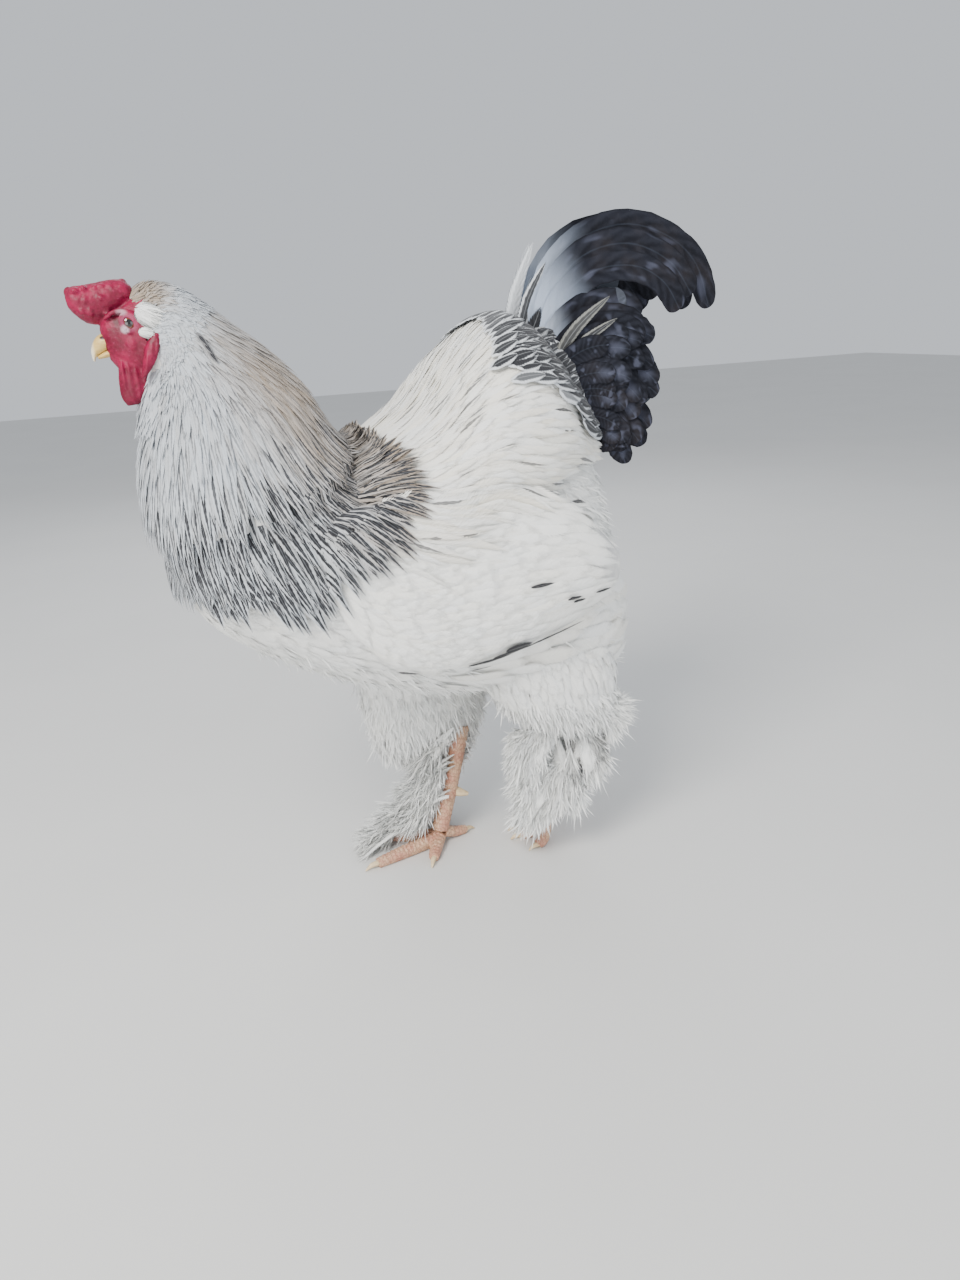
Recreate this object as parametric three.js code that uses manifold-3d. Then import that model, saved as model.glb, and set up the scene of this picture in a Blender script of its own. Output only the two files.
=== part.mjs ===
import * as THREE from 'three';
import { mergeVertices } from 'three/addons/utils/BufferGeometryUtils.js';
import Module from 'manifold-3d';

const wasm = await Module();
wasm.setup();

// A walking brahma cock as a still, life-size model. Millimetres, +Z up. It is laid out
// heading -Y, with its left side at +X and the floor at z = 0, and is then moved so that
// the origin is the middle of its footprint box, on the floor.

// Clearance that parts keep where they meet, and the size of the slivers that are smoothed away.
const GAP = 0.3;
const SLIVER = 0.1;

// Side profile points are written [y, z].
const EYE = { x: 12.4, y: -222, z: 524, radius: 6.6 };

// Bare red face, then the feathered back of the head: crown line to jaw line, with the half
// width between them. Each list starts where the one before it ends.
const FACE = [
  { from: [-243, 520], to: [-239, 499], half: 6 },
  { from: [-240, 530], to: [-235, 493], half: 11 },
  { from: [-231, 536], to: [-228, 487], half: 15 },
  { from: [-220, 542], to: [-221, 483], half: 17.5 },
  { from: [-208, 549], to: [-215, 481], half: 20.5 },
];
const HEAD = [
  { from: [-208, 549], to: [-215, 481], half: 20.5 },
  { from: [-198, 553], to: [-213, 479], half: 24 },
  { from: [-182, 552], to: [-211, 477], half: 29 },
];

// Neck: throat to nape, widening downwards into the cape of hackle feathers.
const NECK = [
  { from: [-211, 477], to: [-182, 552], half: 29 },
  { from: [-218, 464], to: [-147, 528], half: 39, sag: 2 },
  { from: [-228, 444], to: [-118, 498], half: 56, sag: 4, full: 1.05 },
  { from: [-235, 414], to: [-94, 470], half: 76, sag: 8, full: 1.15 },
  { from: [-238, 380], to: [-74, 434], half: 96, sag: 14, full: 1.3 },
  { from: [-234, 345], to: [-54, 420], half: 112, sag: 26, full: 1.4 },
];
const CAPE_HEM = { from: [-216, 306], to: [-18, 440], half: 117, sag: 76, full: 1.3 };
// Share by which the cape falls short of its hem at the breast.
const BREAST_SHORT = 0.055;
// How deep the vanes of the cape lie over the solid neck, at its top and at its base.
const CAPE_DEPTH = [5, 11];

// Torso: back line to keel line from breast to fluff.
const TORSO = [
  { from: [-219, 340], to: [-217, 312], half: 20 },
  { from: [-208, 372], to: [-205, 290], half: 56, full: 1.1 },
  { from: [-184, 388], to: [-184, 270], half: 82, full: 1.1 },
  { from: [-146, 396], to: [-148, 246], half: 95, full: 1.1 },
  { from: [-102, 400], to: [-106, 222], half: 102, full: 1.1 },
  { from: [-55, 402], to: [-58, 203], half: 108, full: 1.1 },
  { from: [0, 424], to: [-5, 188], half: 114, full: 1.1 },
  { from: [50, 452], to: [50, 178], half: 112, full: 1.1 },
  { from: [92, 462], to: [105, 166], half: 101, full: 1.1 },
  { from: [128, 442], to: [146, 162], half: 82, full: 1.1 },
  { from: [150, 395], to: [172, 174], half: 60, full: 1.05 },
  { from: [164, 335], to: [186, 205], half: 36 },
  { from: [170, 290], to: [189, 230], half: 16 },
];

// Saddle: the feathered cushion over the back, from behind the cape to the tail.
const SADDLE = [
  { from: [-72, 420], to: [-60, 330], half: 86 },
  { from: [-48, 429], to: [-40, 320], half: 102, full: 1.1 },
  { from: [-12, 450], to: [-5, 320], half: 114, full: 1.15 },
  { from: [25, 487], to: [35, 330], half: 119, full: 1.15 },
  { from: [58, 511], to: [86, 330], half: 114, full: 1.1 },
  { from: [80, 513], to: [124, 344], half: 100 },
  { from: [93, 500], to: [148, 352], half: 80 },
];
const SADDLE_DEPTH = 9;

// Tail stump, out of the saddle's rear end, and the line along which its feathers root.
const STUMP = [
  { from: [94, 501], to: [140, 372], half: 60 },
  { from: [110, 506], to: [156, 386], half: 50 },
  { from: [126, 500], to: [164, 400], half: 36 },
  { from: [140, 484], to: [164, 424], half: 14 },
];
const TAIL_ROOT = { y: 100, z: 500, slope: -0.34 };

// Wing: upper and lower edge of the folded wing, and how far it stands out of WING_CENTRE.
const WING = [
  { from: [-108, 362], to: [-110, 312], half: 4 },
  { from: [-90, 376], to: [-90, 276], half: 10 },
  { from: [-60, 386], to: [-60, 248], half: 16 },
  { from: [-10, 390], to: [-10, 238], half: 24 },
  { from: [40, 388], to: [40, 246], half: 28 },
  { from: [85, 376], to: [85, 260], half: 27 },
  { from: [118, 352], to: [118, 274], half: 20 },
  { from: [142, 325], to: [142, 290], half: 9 },
];
const WING_CENTRE = 103;
const WING_DEPTH = 6;

// Feather outlines: share of the full width from root to tip.
const LANCE = [0.7, 1, 0.86, 0.14];
const BLADE = [0.6, 1, 0.9, 0.16];
const PADDLE = [0.5, 0.92, 1, 0.5];
const SICKLE = [0.5, 0.86, 1, 1, 1, 0.9, 0.6, 0.22];
const VANE_THICK = 1;
const TIP_THICK = 0.5;
// Rise from root to tip of vanes that lie over a neighbour, so that each tier clears the next.
const COVER_RISE = 9;
// Share of its pitch that a vane is wide, and half the height between its two edges.
const VANE_FILL = 0.9;
const ROLL = 0.6;

const HORN = { color: 0xdcc687, roughness: 0.45, metalness: 0 };
const COMB_RED = { color: 0xb3213f, roughness: 0.55, metalness: 0 };
const FACE_RED = { color: 0xb93650, roughness: 0.6, metalness: 0 };
const WHITE = { color: 0xe9e8e2, roughness: 0.85, metalness: 0 };
const HACKLE = { color: 0xc9c5b6, roughness: 0.85, metalness: 0 };
const SLATE = { color: 0x2c2e36, roughness: 0.7, metalness: 0 };
const SKIN_YELLOW = { color: 0xd08a5c, roughness: 0.6, metalness: 0 };
const CLAW_HORN = { color: 0xcdb38a, roughness: 0.5, metalness: 0 };
const EYE_DARK = { color: 0x33180c, roughness: 0.1, metalness: 0 };

const part = new THREE.Group();

// Seeded draw from -1 to 1, so that the feathers vary the same way each time.
let seed = 20;
function vary() {
  seed = (seed * 16807) % 2147483647;
  return (seed / 2147483647) * 2 - 1;
}

// Closed geometry to solid, and back to a named mesh of its largest closed surface.
function solid(geometry) {
  const bare = geometry.clone();
  bare.deleteAttribute('normal');
  bare.deleteAttribute('uv');
  const merged = mergeVertices(bare, 1e-4);
  const mesh = { numProp: 3, vertProperties: merged.attributes.position.array };
  return new wasm.Manifold(new wasm.Mesh({ ...mesh, triVerts: new Uint32Array(merged.index.array) }));
}

function geometryOf(shape) {
  const { vertProperties, triVerts } = shape.getMesh();
  const geometry = new THREE.BufferGeometry();
  geometry.setAttribute('position', new THREE.BufferAttribute(vertProperties, 3));
  geometry.setIndex(new THREE.BufferAttribute(triVerts, 1));
  return geometry;
}

function place(name, shape, finish) {
  const pieces = shape.decompose();
  const largest = pieces.reduce((a, b) => (b.volume() > a.volume() ? b : a));
  const mesh = new THREE.Mesh(geometryOf(largest.simplify(SLIVER)), new THREE.MeshStandardMaterial(finish));
  mesh.name = name;
  part.add(mesh);
  return largest;
}

// Skin through rings of equally many points, closed by a fan at each end.
function loft(rings) {
  const count = rings[0].length;
  const points = rings.flat();
  const faces = [];
  for (let r = 0; r + 1 < rings.length; r += 1) {
    for (let k = 0; k < count; k += 1) {
      const a = r * count + k;
      const b = r * count + ((k + 1) % count);
      faces.push(a, b, a + count, b, b + count, a + count);
    }
  }
  [0, rings.length - 1].forEach((r) => {
    const hub = points.length;
    points.push(rings[r].reduce((sum, p) => sum.add(p), new THREE.Vector3()).divideScalar(count));
    for (let k = 0; k < count; k += 1) {
      const a = r * count + k;
      const b = r * count + ((k + 1) % count);
      if (r === 0) faces.push(hub, b, a);
      else faces.push(hub, a, b);
    }
  });
  return closed(points, faces);
}

// Geometry of the given points and faces, turned so that its faces point out.
function closed(points, faces) {
  let volume = 0;
  for (let i = 0; i < faces.length; i += 3) {
    const [a, b, c] = [points[faces[i]], points[faces[i + 1]], points[faces[i + 2]]];
    volume += a.dot(b.clone().cross(c));
  }
  const geometry = new THREE.BufferGeometry().setFromPoints(points);
  geometry.setIndex(volume > 0 ? faces : faces.reverse());
  return geometry;
}

// Catmull-Rom blend of the numbers in four neighbouring stations.
function blend(p, t) {
  return p[1].map((_, i) => {
    const [a, b, c, d] = [p[0][i], p[1][i], p[2][i], p[3][i]];
    return b + 0.5 * t * (c - a + t * (2 * a - 5 * b + 4 * c - d + t * (3 * (b - c) + d - a)));
  });
}

// Station at the share t of the way along a list, as a plain row.
function stationAt(list, t) {
  const rows = list.map(({ from, to, half, sag = 0, full = 1 }) => [...from, ...to, half, sag, full]);
  const u = THREE.MathUtils.clamp(t, 0, 1) * (rows.length - 1);
  const k = Math.min(Math.floor(u), rows.length - 2);
  const row = (j) => rows[THREE.MathUtils.clamp(j, 0, rows.length - 1)];
  return blend([row(k - 1), row(k), row(k + 1), row(k + 2)], u - k);
}

// Point of a hoop that spans the profile line from -> to and bulges sideways. Angle 0 is at
// from, a quarter turn at +X. Fullness over 1 squares the section, grow fattens it.
function hoopPoint([fy, fz, ty, tz, half, sag, full], angle, { x = 0, grow = 0 } = {}) {
  const power = (v) => Math.sign(v) * Math.abs(v) ** (1 / full);
  const c = power(Math.cos(angle));
  const s = power(Math.sin(angle));
  const reach = Math.hypot(fy - ty, fz - tz) / 2;
  const stretch = (reach + grow) / reach / 2;
  return new THREE.Vector3(
    x + (half + grow) * s,
    (fy + ty) / 2 + (fy - ty) * c * stretch,
    (fz + tz) / 2 + (fz - tz) * c * stretch - sag * s * s,
  );
}

// Solid through hoops. Grow may be a function of the share of the way along.
function hoops(list, { count = list.length, sides = 24, x = 0, grow = 0, clear = 0 } = {}) {
  const rings = Array.from({ length: count }, (_, i) => {
    const t = i / (count - 1);
    const thicker = (typeof grow === 'function' ? grow(t) : grow) + clear;
    const station = stationAt(list, t);
    return Array.from({ length: sides }, (__, k) =>
      hoopPoint(station, (k / sides) * 2 * Math.PI, { x, grow: thicker }));
  });
  if (clear > 0) extend(rings, clear);
  return solid(loft(rings));
}

// Moves the two end rings apart by the given distance each.
function extend(rings, distance) {
  const hub = (ring) => ring.reduce((sum, p) => sum.add(p), new THREE.Vector3()).divideScalar(ring.length);
  [[0, 1], [rings.length - 1, rings.length - 2]].forEach(([end, inner]) => {
    const out = hub(rings[end]).sub(hub(rings[inner])).setLength(distance);
    rings[end].forEach((p) => p.add(out));
  });
}

// Round limb along a path: radii in step with the points, flattened by the given ratio. Its
// rings stand at even shares of the path or at the given ones, each proud at the front or not.
function limb(points, radii, { sides = 10, count = points.length, flat = 1, grow = 0, stands = [] } = {}) {
  const path = new THREE.CatmullRomCurve3(points.map((p) => new THREE.Vector3(...p)), false, 'centripetal');
  const places = stands.length ? stands : Array.from({ length: count }, (_, i) => [i / (count - 1), 0]);
  const rings = places.map(([t, proud]) => {
    const u = t * (radii.length - 1);
    const k = Math.min(Math.floor(u), radii.length - 2);
    const radius = THREE.MathUtils.lerp(radii[k], radii[k + 1], u - k) + grow;
    const centre = path.getPoint(t);
    const along = path.getTangent(t);
    const across = new THREE.Vector3(1, 0, 0).addScaledVector(along, -along.x).normalize();
    const up = across.clone().cross(along);
    return Array.from({ length: sides }, (_, s) => {
      const angle = (s / sides) * 2 * Math.PI;
      const front = proud * Math.max(0, -Math.sin(angle));
      return centre.clone()
        .addScaledVector(across, radius * Math.cos(angle))
        .addScaledVector(up, (radius + front) * flat * Math.sin(angle));
    });
  });
  if (grow > 0) extend(rings, grow);
  return solid(loft(rings));
}

function ball([x, y, z], [rx, ry, rz], detail = 2) {
  return solid(new THREE.IcosahedronGeometry(1, detail).scale(rx, ry, rz).translate(x, y, z));
}

function box([x0, y0, z0], [x1, y1, z1]) {
  const shape = new THREE.BoxGeometry(x1 - x0, y1 - y0, z1 - z0);
  return solid(shape.translate((x0 + x1) / 2, (y0 + y1) / 2, (z0 + z1) / 2));
}

// Feather vane over rows of points across it, all on its inner face. Both faces are split
// into triangles alike. Clear widens and thickens it all round, for cutting its neighbours.
function vane(rows, clear = 0) {
  const across = rows[0].points.length;
  const inner = [];
  const outer = [];
  rows.forEach(({ points, normal, thick }, r) => {
    const side = points[across - 1].clone().sub(points[0]).normalize();
    const along = side.clone().cross(normal).normalize();
    const ahead = Math.sign(along.dot(rows[Math.min(r + 1, rows.length - 1)].points[0].clone()
      .sub(rows[Math.max(r - 1, 0)].points[0])));
    const step = (r === rows.length - 1 ? clear : 0) * ahead;
    points.forEach((p, k) => {
      const shift = clear * (k === 0 ? -1 : Number(k === across - 1));
      const base = p.clone().addScaledVector(side, shift).addScaledVector(along, step);
      inner.push(base.clone().addScaledVector(normal, -clear));
      outer.push(base.clone().addScaledVector(normal, thick + clear));
    });
  });
  const faces = [];
  const top = inner.length;
  for (let r = 0; r + 1 < rows.length; r += 1) {
    for (let k = 0; k + 1 < across; k += 1) {
      const a = r * across + k;
      const b = a + across;
      faces.push(a, a + 1, b, a + 1, b + 1, b);
      faces.push(top + a, top + b, top + a + 1, top + a + 1, top + b, top + b + 1);
    }
    const [left, right] = [r * across, r * across + across - 1];
    faces.push(left, left + across, top + left, top + left, left + across, top + left + across);
    faces.push(right, top + right, right + across, top + right, top + right + across, right + across);
  }
  [[0, false], [rows.length - 1, true]].forEach(([r, last]) => {
    for (let k = 0; k + 1 < across; k += 1) {
      const a = r * across + k;
      if (last) faces.push(a, a + 1, top + a + 1, a, top + a + 1, top + a);
      else faces.push(a, top + a + 1, a + 1, a, top + a, top + a + 1);
    }
  });
  return solid(closed([...inner, ...outer], faces));
}

const lerp = THREE.MathUtils.lerp;
// Core and vanes as one solid. What dips into the hollow, if one is given, is trimmed.
function fused(core, vanes, { clear = 0, trim = null } = {}) {
  return vanes.reduce((body, rows) => {
    const feather = vane(rows, clear);
    return body.add(trim ? feather.subtract(trim) : feather);
  }, core);
}
const mirrored = (rows) => rows.map(({ points, normal, thick }) => ({
  points: points.map((p) => new THREE.Vector3(-p.x, p.y, p.z)),
  normal: new THREE.Vector3(-normal.x, normal.y, normal.z),
  thick,
}));

// Surface of a hoop list: point and outward normal at a share along it and an angle round it.
function surface(list, options = {}) {
  const at = (t, angle) => hoopPoint(stationAt(list, t), angle, options);
  return (place, angle) => {
    const t = THREE.MathUtils.clamp(place, 0, 1);
    const point = at(t, angle);
    const [near, far] = t < 0.5 ? [t, t + 0.01] : [t - 0.01, t];
    const along = at(far, angle).sub(at(near, angle));
    const round = at(t, angle + 0.02).sub(at(t, angle - 0.02));
    const outward = point.clone().sub(at(t, angle + Math.PI));
    const normal = round.cross(along).normalize();
    if (normal.dot(outward) < 0) normal.negate();
    return { point, normal };
  };
}

// Shingle: a vane that lies on a surface, its root sunk below it, its tip just under it. The
// lie goes from share t by span, turning round by turn. The cover keeps it off what is below.
function shingle(skin, { t, angle, span, turn, pitch, sink, outline, cover }) {
  const edge = (side) => skin(t + span * 0.4, angle + turn * 0.4 + side * pitch).point;
  const width = edge(-0.5).distanceTo(edge(0.5)) * VANE_FILL;
  return outline.map((share, i) => {
    const u = i / (outline.length - 1);
    const here = skin(t + span * u, angle + turn * u);
    const next = skin(t + span * (u + 0.05), angle + turn * (u + 0.05));
    const last = skin(t + span * (u - 0.05), angle + turn * (u - 0.05));
    const across = next.point.clone().sub(last.point).cross(here.normal).normalize();
    const thick = lerp(VANE_THICK, TIP_THICK, u);
    const points = [-1, 1].map((side) => {
      const tilt = side * ROLL * share;
      const p = here.point.clone().addScaledVector(across, side * width * share * 0.5);
      p.addScaledVector(here.normal, lerp(-sink, -1, u) - thick + tilt);
      return cover && u > 0 ? cover(p, here.normal, COVER_RISE * u - 1 + tilt) : p;
    });
    const flat = points[1].clone().sub(points[0]);
    const normal = here.normal.clone().addScaledVector(flat, -here.normal.dot(flat) / flat.lengthSq());
    return { points, normal: normal.normalize(), thick };
  });
}

// Tiers of shingles over a skin, round all of it or over the arc from one angle to another.
// Each tier is set half a pitch off the one before it.
function clad(skin, tiers, { arc = null, depth, outline, cover = null, lean = () => 0, reach = () => 1 }) {
  return tiers.flatMap(({ t, span, vanes, over = arc }, tier) => {
    const pitch = over ? (over[1] - over[0]) / (vanes - 0.5) : (2 * Math.PI) / vanes;
    return Array.from({ length: vanes }, (_, k) => {
      const angle = (over ? over[0] : 0) + (k + (tier % 2) / 2 + vary() * 0.035) * pitch;
      const share = reach(angle);
      return shingle(skin, {
        t: t * share,
        angle,
        span: span * share * (1 + vary() * 0.05),
        turn: lean(angle),
        pitch,
        sink: depth(t) + 2,
        outline,
        cover,
      });
    });
  });
}

// Plume: a vane that stands free. It sets out at the angle rise in the upright plane that
// runs front to back, droops by the given angle over its length and drifts sideways.
function plume({ root, rise, droop, length, drift, width, outline, face = [1, 0, 0] }) {
  const count = outline.length - 1;
  const outward = new THREE.Vector3(...face).normalize();
  const place = new THREE.Vector3(...root);
  const steps = 6;
  return outline.map((share, i) => {
    const heading = (u) => THREE.MathUtils.degToRad(rise - droop * u);
    const lie = (u) => new THREE.Vector3(drift, Math.cos(heading(u)), Math.sin(heading(u))).normalize();
    const u = i / count;
    const along = lie(u);
    const across = along.clone().cross(outward).normalize();
    const normal = across.clone().cross(along).normalize();
    const thick = lerp(VANE_THICK, TIP_THICK, u);
    const points = [-0.5, 0.5].map((side) => place.clone().addScaledVector(across, side * width * share));
    for (let k = 0; k < steps; k += 1) {
      place.addScaledVector(lie(u + (k + 0.5) / steps / count), length / count / steps);
    }
    return { points, normal, thick };
  });
}

// Lifts a point along the normal until it clears the given solids by the given distance and
// a rise. A point that hangs up to cling above them is laid down to the same height.
function coverOver(shapes, clearance, cling = 0) {
  const targets = shapes.map((shape) => new THREE.Mesh(geometryOf(shape), new THREE.MeshBasicMaterial()));
  const above = 60;
  return (p, normal, rise) => {
    const start = p.clone().addScaledVector(normal, above);
    const ray = new THREE.Raycaster(start, normal.clone().negate(), 0, above * 1.4);
    const hit = ray.intersectObjects(targets, false)[0];
    if (!hit) return p;
    return p.addScaledVector(normal, Math.max(-cling, above - hit.distance + clearance + rise));
  };
}

const underFloor = box([-400, -400, -100], [400, 400, 0]);

// Left side at +1, right side at -1.
const sides = [['left', 1], ['right', -1]];

const faceForm = (clear) => hoops(FACE, { count: 6, sides: 12, clear });

// Neighbours that start where a list ends keep the gap: the last station is held back.
const headForm = (clear) =>
  hoops([shifted(HEAD[0], GAP), ...HEAD.slice(1)], { count: 4, sides: 12, clear });

// A station moved along the neck, away from the head.
function shifted({ from, to, half, sag }, distance) {
  const span = new THREE.Vector2(to[0] - from[0], to[1] - from[1]).normalize();
  const down = [Math.abs(span.y) * distance, -Math.abs(span.x) * distance];
  return { from: [from[0] + down[0], from[1] + down[1]], to: [to[0] + down[0], to[1] + down[1]], half, sag };
}

const eyeBall = (side, grow) =>
  ball([side * EYE.x, EYE.y, EYE.z], Array(3).fill(EYE.radius + grow), 1);

// Lids: a low swelling round the eye, which opens it, a little longer than high.
const LIDS = { x: 15.6, radii: [2.6, 8, 7.2] };
const lids = (side) => ball([side * LIDS.x, EYE.y, EYE.z], LIDS.radii, 1);

// Corner of the mouth: a groove from the beak back into the cheek, on each side.
const GAPE = { from: [-240, 502.9], to: [-225, 500.6], inner: 11, high: 0.9 };
function gape(side) {
  const long = Math.hypot(GAPE.to[0] - GAPE.from[0], GAPE.to[1] - GAPE.from[1]);
  const slit = new THREE.BoxGeometry(20, long, GAPE.high).translate(side * (GAPE.inner + 10), long / 2, 0);
  slit.rotateX(Math.atan2(GAPE.to[1] - GAPE.from[1], GAPE.to[0] - GAPE.from[0]));
  return solid(slit.translate(0, ...GAPE.from));
}

function makeHead() {
  let face = faceForm(0);
  sides.forEach(([, side]) => {
    face = face.add(lids(side)).subtract(eyeBall(side, GAP)).subtract(gape(side));
  });
  place('face', face, FACE_RED);
  place('head', headForm(0), WHITE);
  sides.forEach(([name, side]) => place(`eye_${name}`, eyeBall(side, 0), EYE_DARK));
}

// Pea comb: a lumpy cushion that leans forward over the beak.
const COMB = [
  { from: [-262, 541], to: [-257, 533], half: 4 },
  { from: [-256, 550], to: [-250, 527], half: 8 },
  { from: [-246, 553], to: [-243, 524], half: 10 },
  { from: [-234, 555], to: [-230, 530], half: 11 },
  { from: [-222, 555], to: [-219, 534], half: 10 },
  { from: [-213, 549], to: [-214, 538], half: 5 },
];

// Bulbs of the comb: a middle row and one down each side, from the front back.
const COMB_BULBS = [
  { x: 0, from: [-257, 544], to: [-224, 552], count: 3, radii: [4, 8, 4.6] },
  { x: 7, from: [-240, 544], to: [-240, 544], count: 1, radii: [4, 12, 5] },
  { x: -7, from: [-240, 544], to: [-240, 544], count: 1, radii: [4, 12, 5] },
];

function makeComb(head) {
  let comb = hoops(COMB, { count: 6, sides: 10 });
  COMB_BULBS.forEach(({ x, from, to, count, radii }) => {
    for (let k = 0; k < count; k += 1) {
      const u = count > 1 ? k / (count - 1) : 0;
      const size = radii.map((r) => r * (1 + vary() * 0.1));
      comb = comb.add(ball([x, lerp(from[0], to[0], u), lerp(from[1], to[1], u)], size, 1));
    }
  });
  place('comb', comb.subtract(head), COMB_RED);
}

const BEAK_UPPER = [
  { from: [-236, 519], to: [-232, 503], half: 8 },
  { from: [-243, 517], to: [-239, 503], half: 7.5 },
  { from: [-249, 512], to: [-244, 501.5], half: 5.8 },
  { from: [-252, 505], to: [-248, 500], half: 3.6 },
  { from: [-251.5, 498], to: [-250, 497.5], half: 1.2 },
];
const BEAK_LOWER = [
  { from: [-232, 502.6], to: [-230, 496], half: 7 },
  { from: [-239, 502.6], to: [-238, 496.5], half: 6.4 },
  { from: [-244, 501], to: [-243, 496.5], half: 4.6 },
  { from: [-248, 498.8], to: [-247.5, 496.8], half: 2 },
];

const NOSTRIL = { x: 6.6, y: -243.5, z: 511.5, radii: [1.4, 2.2, 1.1] };

function makeBeak(head) {
  let upper = hoops(BEAK_UPPER, { count: 6, sides: 10 });
  sides.forEach(([, side]) => {
    upper = upper.subtract(ball([side * NOSTRIL.x, NOSTRIL.y, NOSTRIL.z], NOSTRIL.radii, 0));
  });
  const keep = hoops(BEAK_UPPER, { count: 6, sides: 10, clear: GAP });
  const lower = (clear) => hoops(BEAK_LOWER, { count: 5, sides: 8, clear });
  place('beak_upper', upper.subtract(head), HORN);
  place('beak_lower', lower(0).subtract(keep).subtract(head), HORN);
  return keep.add(lower(GAP));
}

const WATTLE = [
  { from: [-238, 507], to: [-214, 500], half: 3 },
  { from: [-239, 494], to: [-217, 490], half: 4 },
  { from: [-239, 480], to: [-221, 480], half: 4.4 },
  { from: [-237, 470], to: [-224, 472], half: 3.6 },
  { from: [-231, 465], to: [-227, 466], half: 1.6 },
];
const EAR_LOBE = [
  { from: [-209, 517], to: [-203, 518], half: 2 },
  { from: [-212, 510], to: [-201, 512], half: 4 },
  { from: [-215, 500], to: [-203, 500], half: 4.4 },
  { from: [-216, 489], to: [-207, 490], half: 2.4 },
];
const EAR_COVER = [
  { from: [-214, 538], to: [-206, 540], half: 3 },
  { from: [-216, 531], to: [-201, 534], half: 5 },
  { from: [-213, 524], to: [-199, 525], half: 4.6 },
  { from: [-208, 519.6], to: [-200, 519.6], half: 2 },
];

// Distance of the wattle, ear lobe and ear cover from the midplane.
const WATTLE_X = 9;
const EAR_X = 22;

// Folds down each wattle: thin bulbs that stand out of its outer face.
const FOLDS = [
  { y: -231, z: 486, radii: [2.6, 2.6, 13] },
  { y: -222, z: 483, radii: [2.6, 2.4, 11] },
];
const EAR_TUFT = [
  { t: 0.05, span: 0.9, vanes: 2, over: [1.1, 2.1] },
];

function makeFace(head, neck, beak) {
  const keepClear = head.add(neck).add(beak);
  sides.forEach(([name, side]) => {
    let wattle = hoops(WATTLE, { count: 5, sides: 9, x: side * WATTLE_X });
    FOLDS.forEach(({ y, z, radii }) => {
      wattle = wattle.add(ball([side * (WATTLE_X + 2.6), y, z], radii, 0));
    });
    const lobe = hoops(EAR_LOBE, { count: 5, sides: 8, x: side * EAR_X });
    const tuft = clad(surface(EAR_COVER, { x: EAR_X }), EAR_TUFT, { depth: () => 1.4, outline: BLADE });
    const core = hoops(EAR_COVER, { count: 5, sides: 8, x: side * EAR_X, grow: -0.8 });
    const cover = fused(core, side > 0 ? tuft : tuft.map(mirrored));
    place(`wattle_${name}`, wattle.subtract(keepClear), COMB_RED);
    place(`ear_lobe_${name}`, lobe.subtract(keepClear), COMB_RED);
    place(`ear_cover_${name}`, cover.subtract(keepClear), WHITE);
  });
}

// Neck: a solid core parted from the head by a thin gap, under tiers of hackle vanes.
const NECK_LIST = [shifted(NECK[0], GAP), ...NECK.slice(1)];
const neckCore = (clear) =>
  hoops(NECK_LIST, { count: 6, sides: 14, clear, grow: (t) => -lerp(0, CAPE_DEPTH[1], Math.min(1, t * 2)) });

// Tiers of the cape: share along it where they root, span of the lie and vanes round.
const CAPE_TIERS = [
  { t: 0.05, span: 0.32, vanes: 9 },
  { t: 0.19, span: 0.33, vanes: 10 },
  { t: 0.36, span: 0.33, vanes: 12 },
  { t: 0.53, span: 0.32, vanes: 14 },
  { t: 0.7, span: 0.3, vanes: 18 },
];
const capeDepth = (t) => lerp(CAPE_DEPTH[0], CAPE_DEPTH[1], Math.min(1, t * 2));

function capeVanes(cover) {
  const skin = surface([...NECK_LIST, CAPE_HEM]);
  const reach = (angle) => 1 - BREAST_SHORT * THREE.MathUtils.clamp(2 * Math.cos(angle), 0, 1);
  return clad(skin, CAPE_TIERS, { depth: capeDepth, outline: LANCE, cover, reach });
}

const torsoForm = (clear) => hoops(TORSO, { count: 13, sides: 18, clear });

const saddleCore = (clear) => hoops(SADDLE, { count: 7, sides: 16, clear, grow: -SADDLE_DEPTH });

const SADDLE_TIERS = [
  { t: 0.08, span: 0.42, vanes: 8 },
  { t: 0.33, span: 0.42, vanes: 8 },
  { t: 0.6, span: 0.4, vanes: 8 },
];
const SADDLE_ARC = [-1.3, 1.3];

// Saddle vanes set out from the back line and lean down over the flanks.
function saddleVanes(cover) {
  const lean = (angle) => angle * 0.14;
  return clad(surface(SADDLE), SADDLE_TIERS, {
    arc: SADDLE_ARC, depth: () => SADDLE_DEPTH, outline: LANCE, cover, lean,
  });
}

// Tail feathers of one side, from the inmost layer out: main fan, two tiers of broad coverts
// and a tier of short laced ones. Each tier roots lower as its rise falls.
const TAIL_TIERS = [
  {
    feathers: 4, x: [3, 15], z: [486, 410], rise: [74, 14],
    droop: 35, length: [110, 94], drift: [0.04, 0.26], width: 32,
  },
  {
    feathers: 4, x: [19, 28], z: [482, 404], rise: [70, 0],
    droop: 105, length: [126, 90], drift: [0.08, 0.3], width: 34,
  },
  {
    feathers: 4, x: [30, 37], z: [476, 398], rise: [60, -8],
    droop: 95, length: [88, 68], drift: [0.12, 0.34], width: 34,
  },
  {
    feathers: 3, x: [39, 44], z: [464, 412], rise: [50, -4],
    droop: 70, length: [58, 50], drift: [0.16, 0.38], width: 34,
  },
];

// Main and lesser sickles of one side, as the points that their shafts run through.
const SICKLES = [
  {
    width: 25,
    path: [
      [9, 108, 482], [11, 117, 536], [14, 148, 571], [17, 192, 584],
      [19, 234, 574], [20, 264, 550], [20, 278, 514],
    ],
  },
  {
    width: 24,
    path: [
      [14, 112, 478], [18, 127, 520], [22, 158, 548], [25, 196, 553],
      [27, 228, 538], [28, 244, 512],
    ],
  },
  { width: 16, path: [[3, 96, 490], [4, 102, 530], [5, 117, 572]], outline: LANCE },
];

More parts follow.
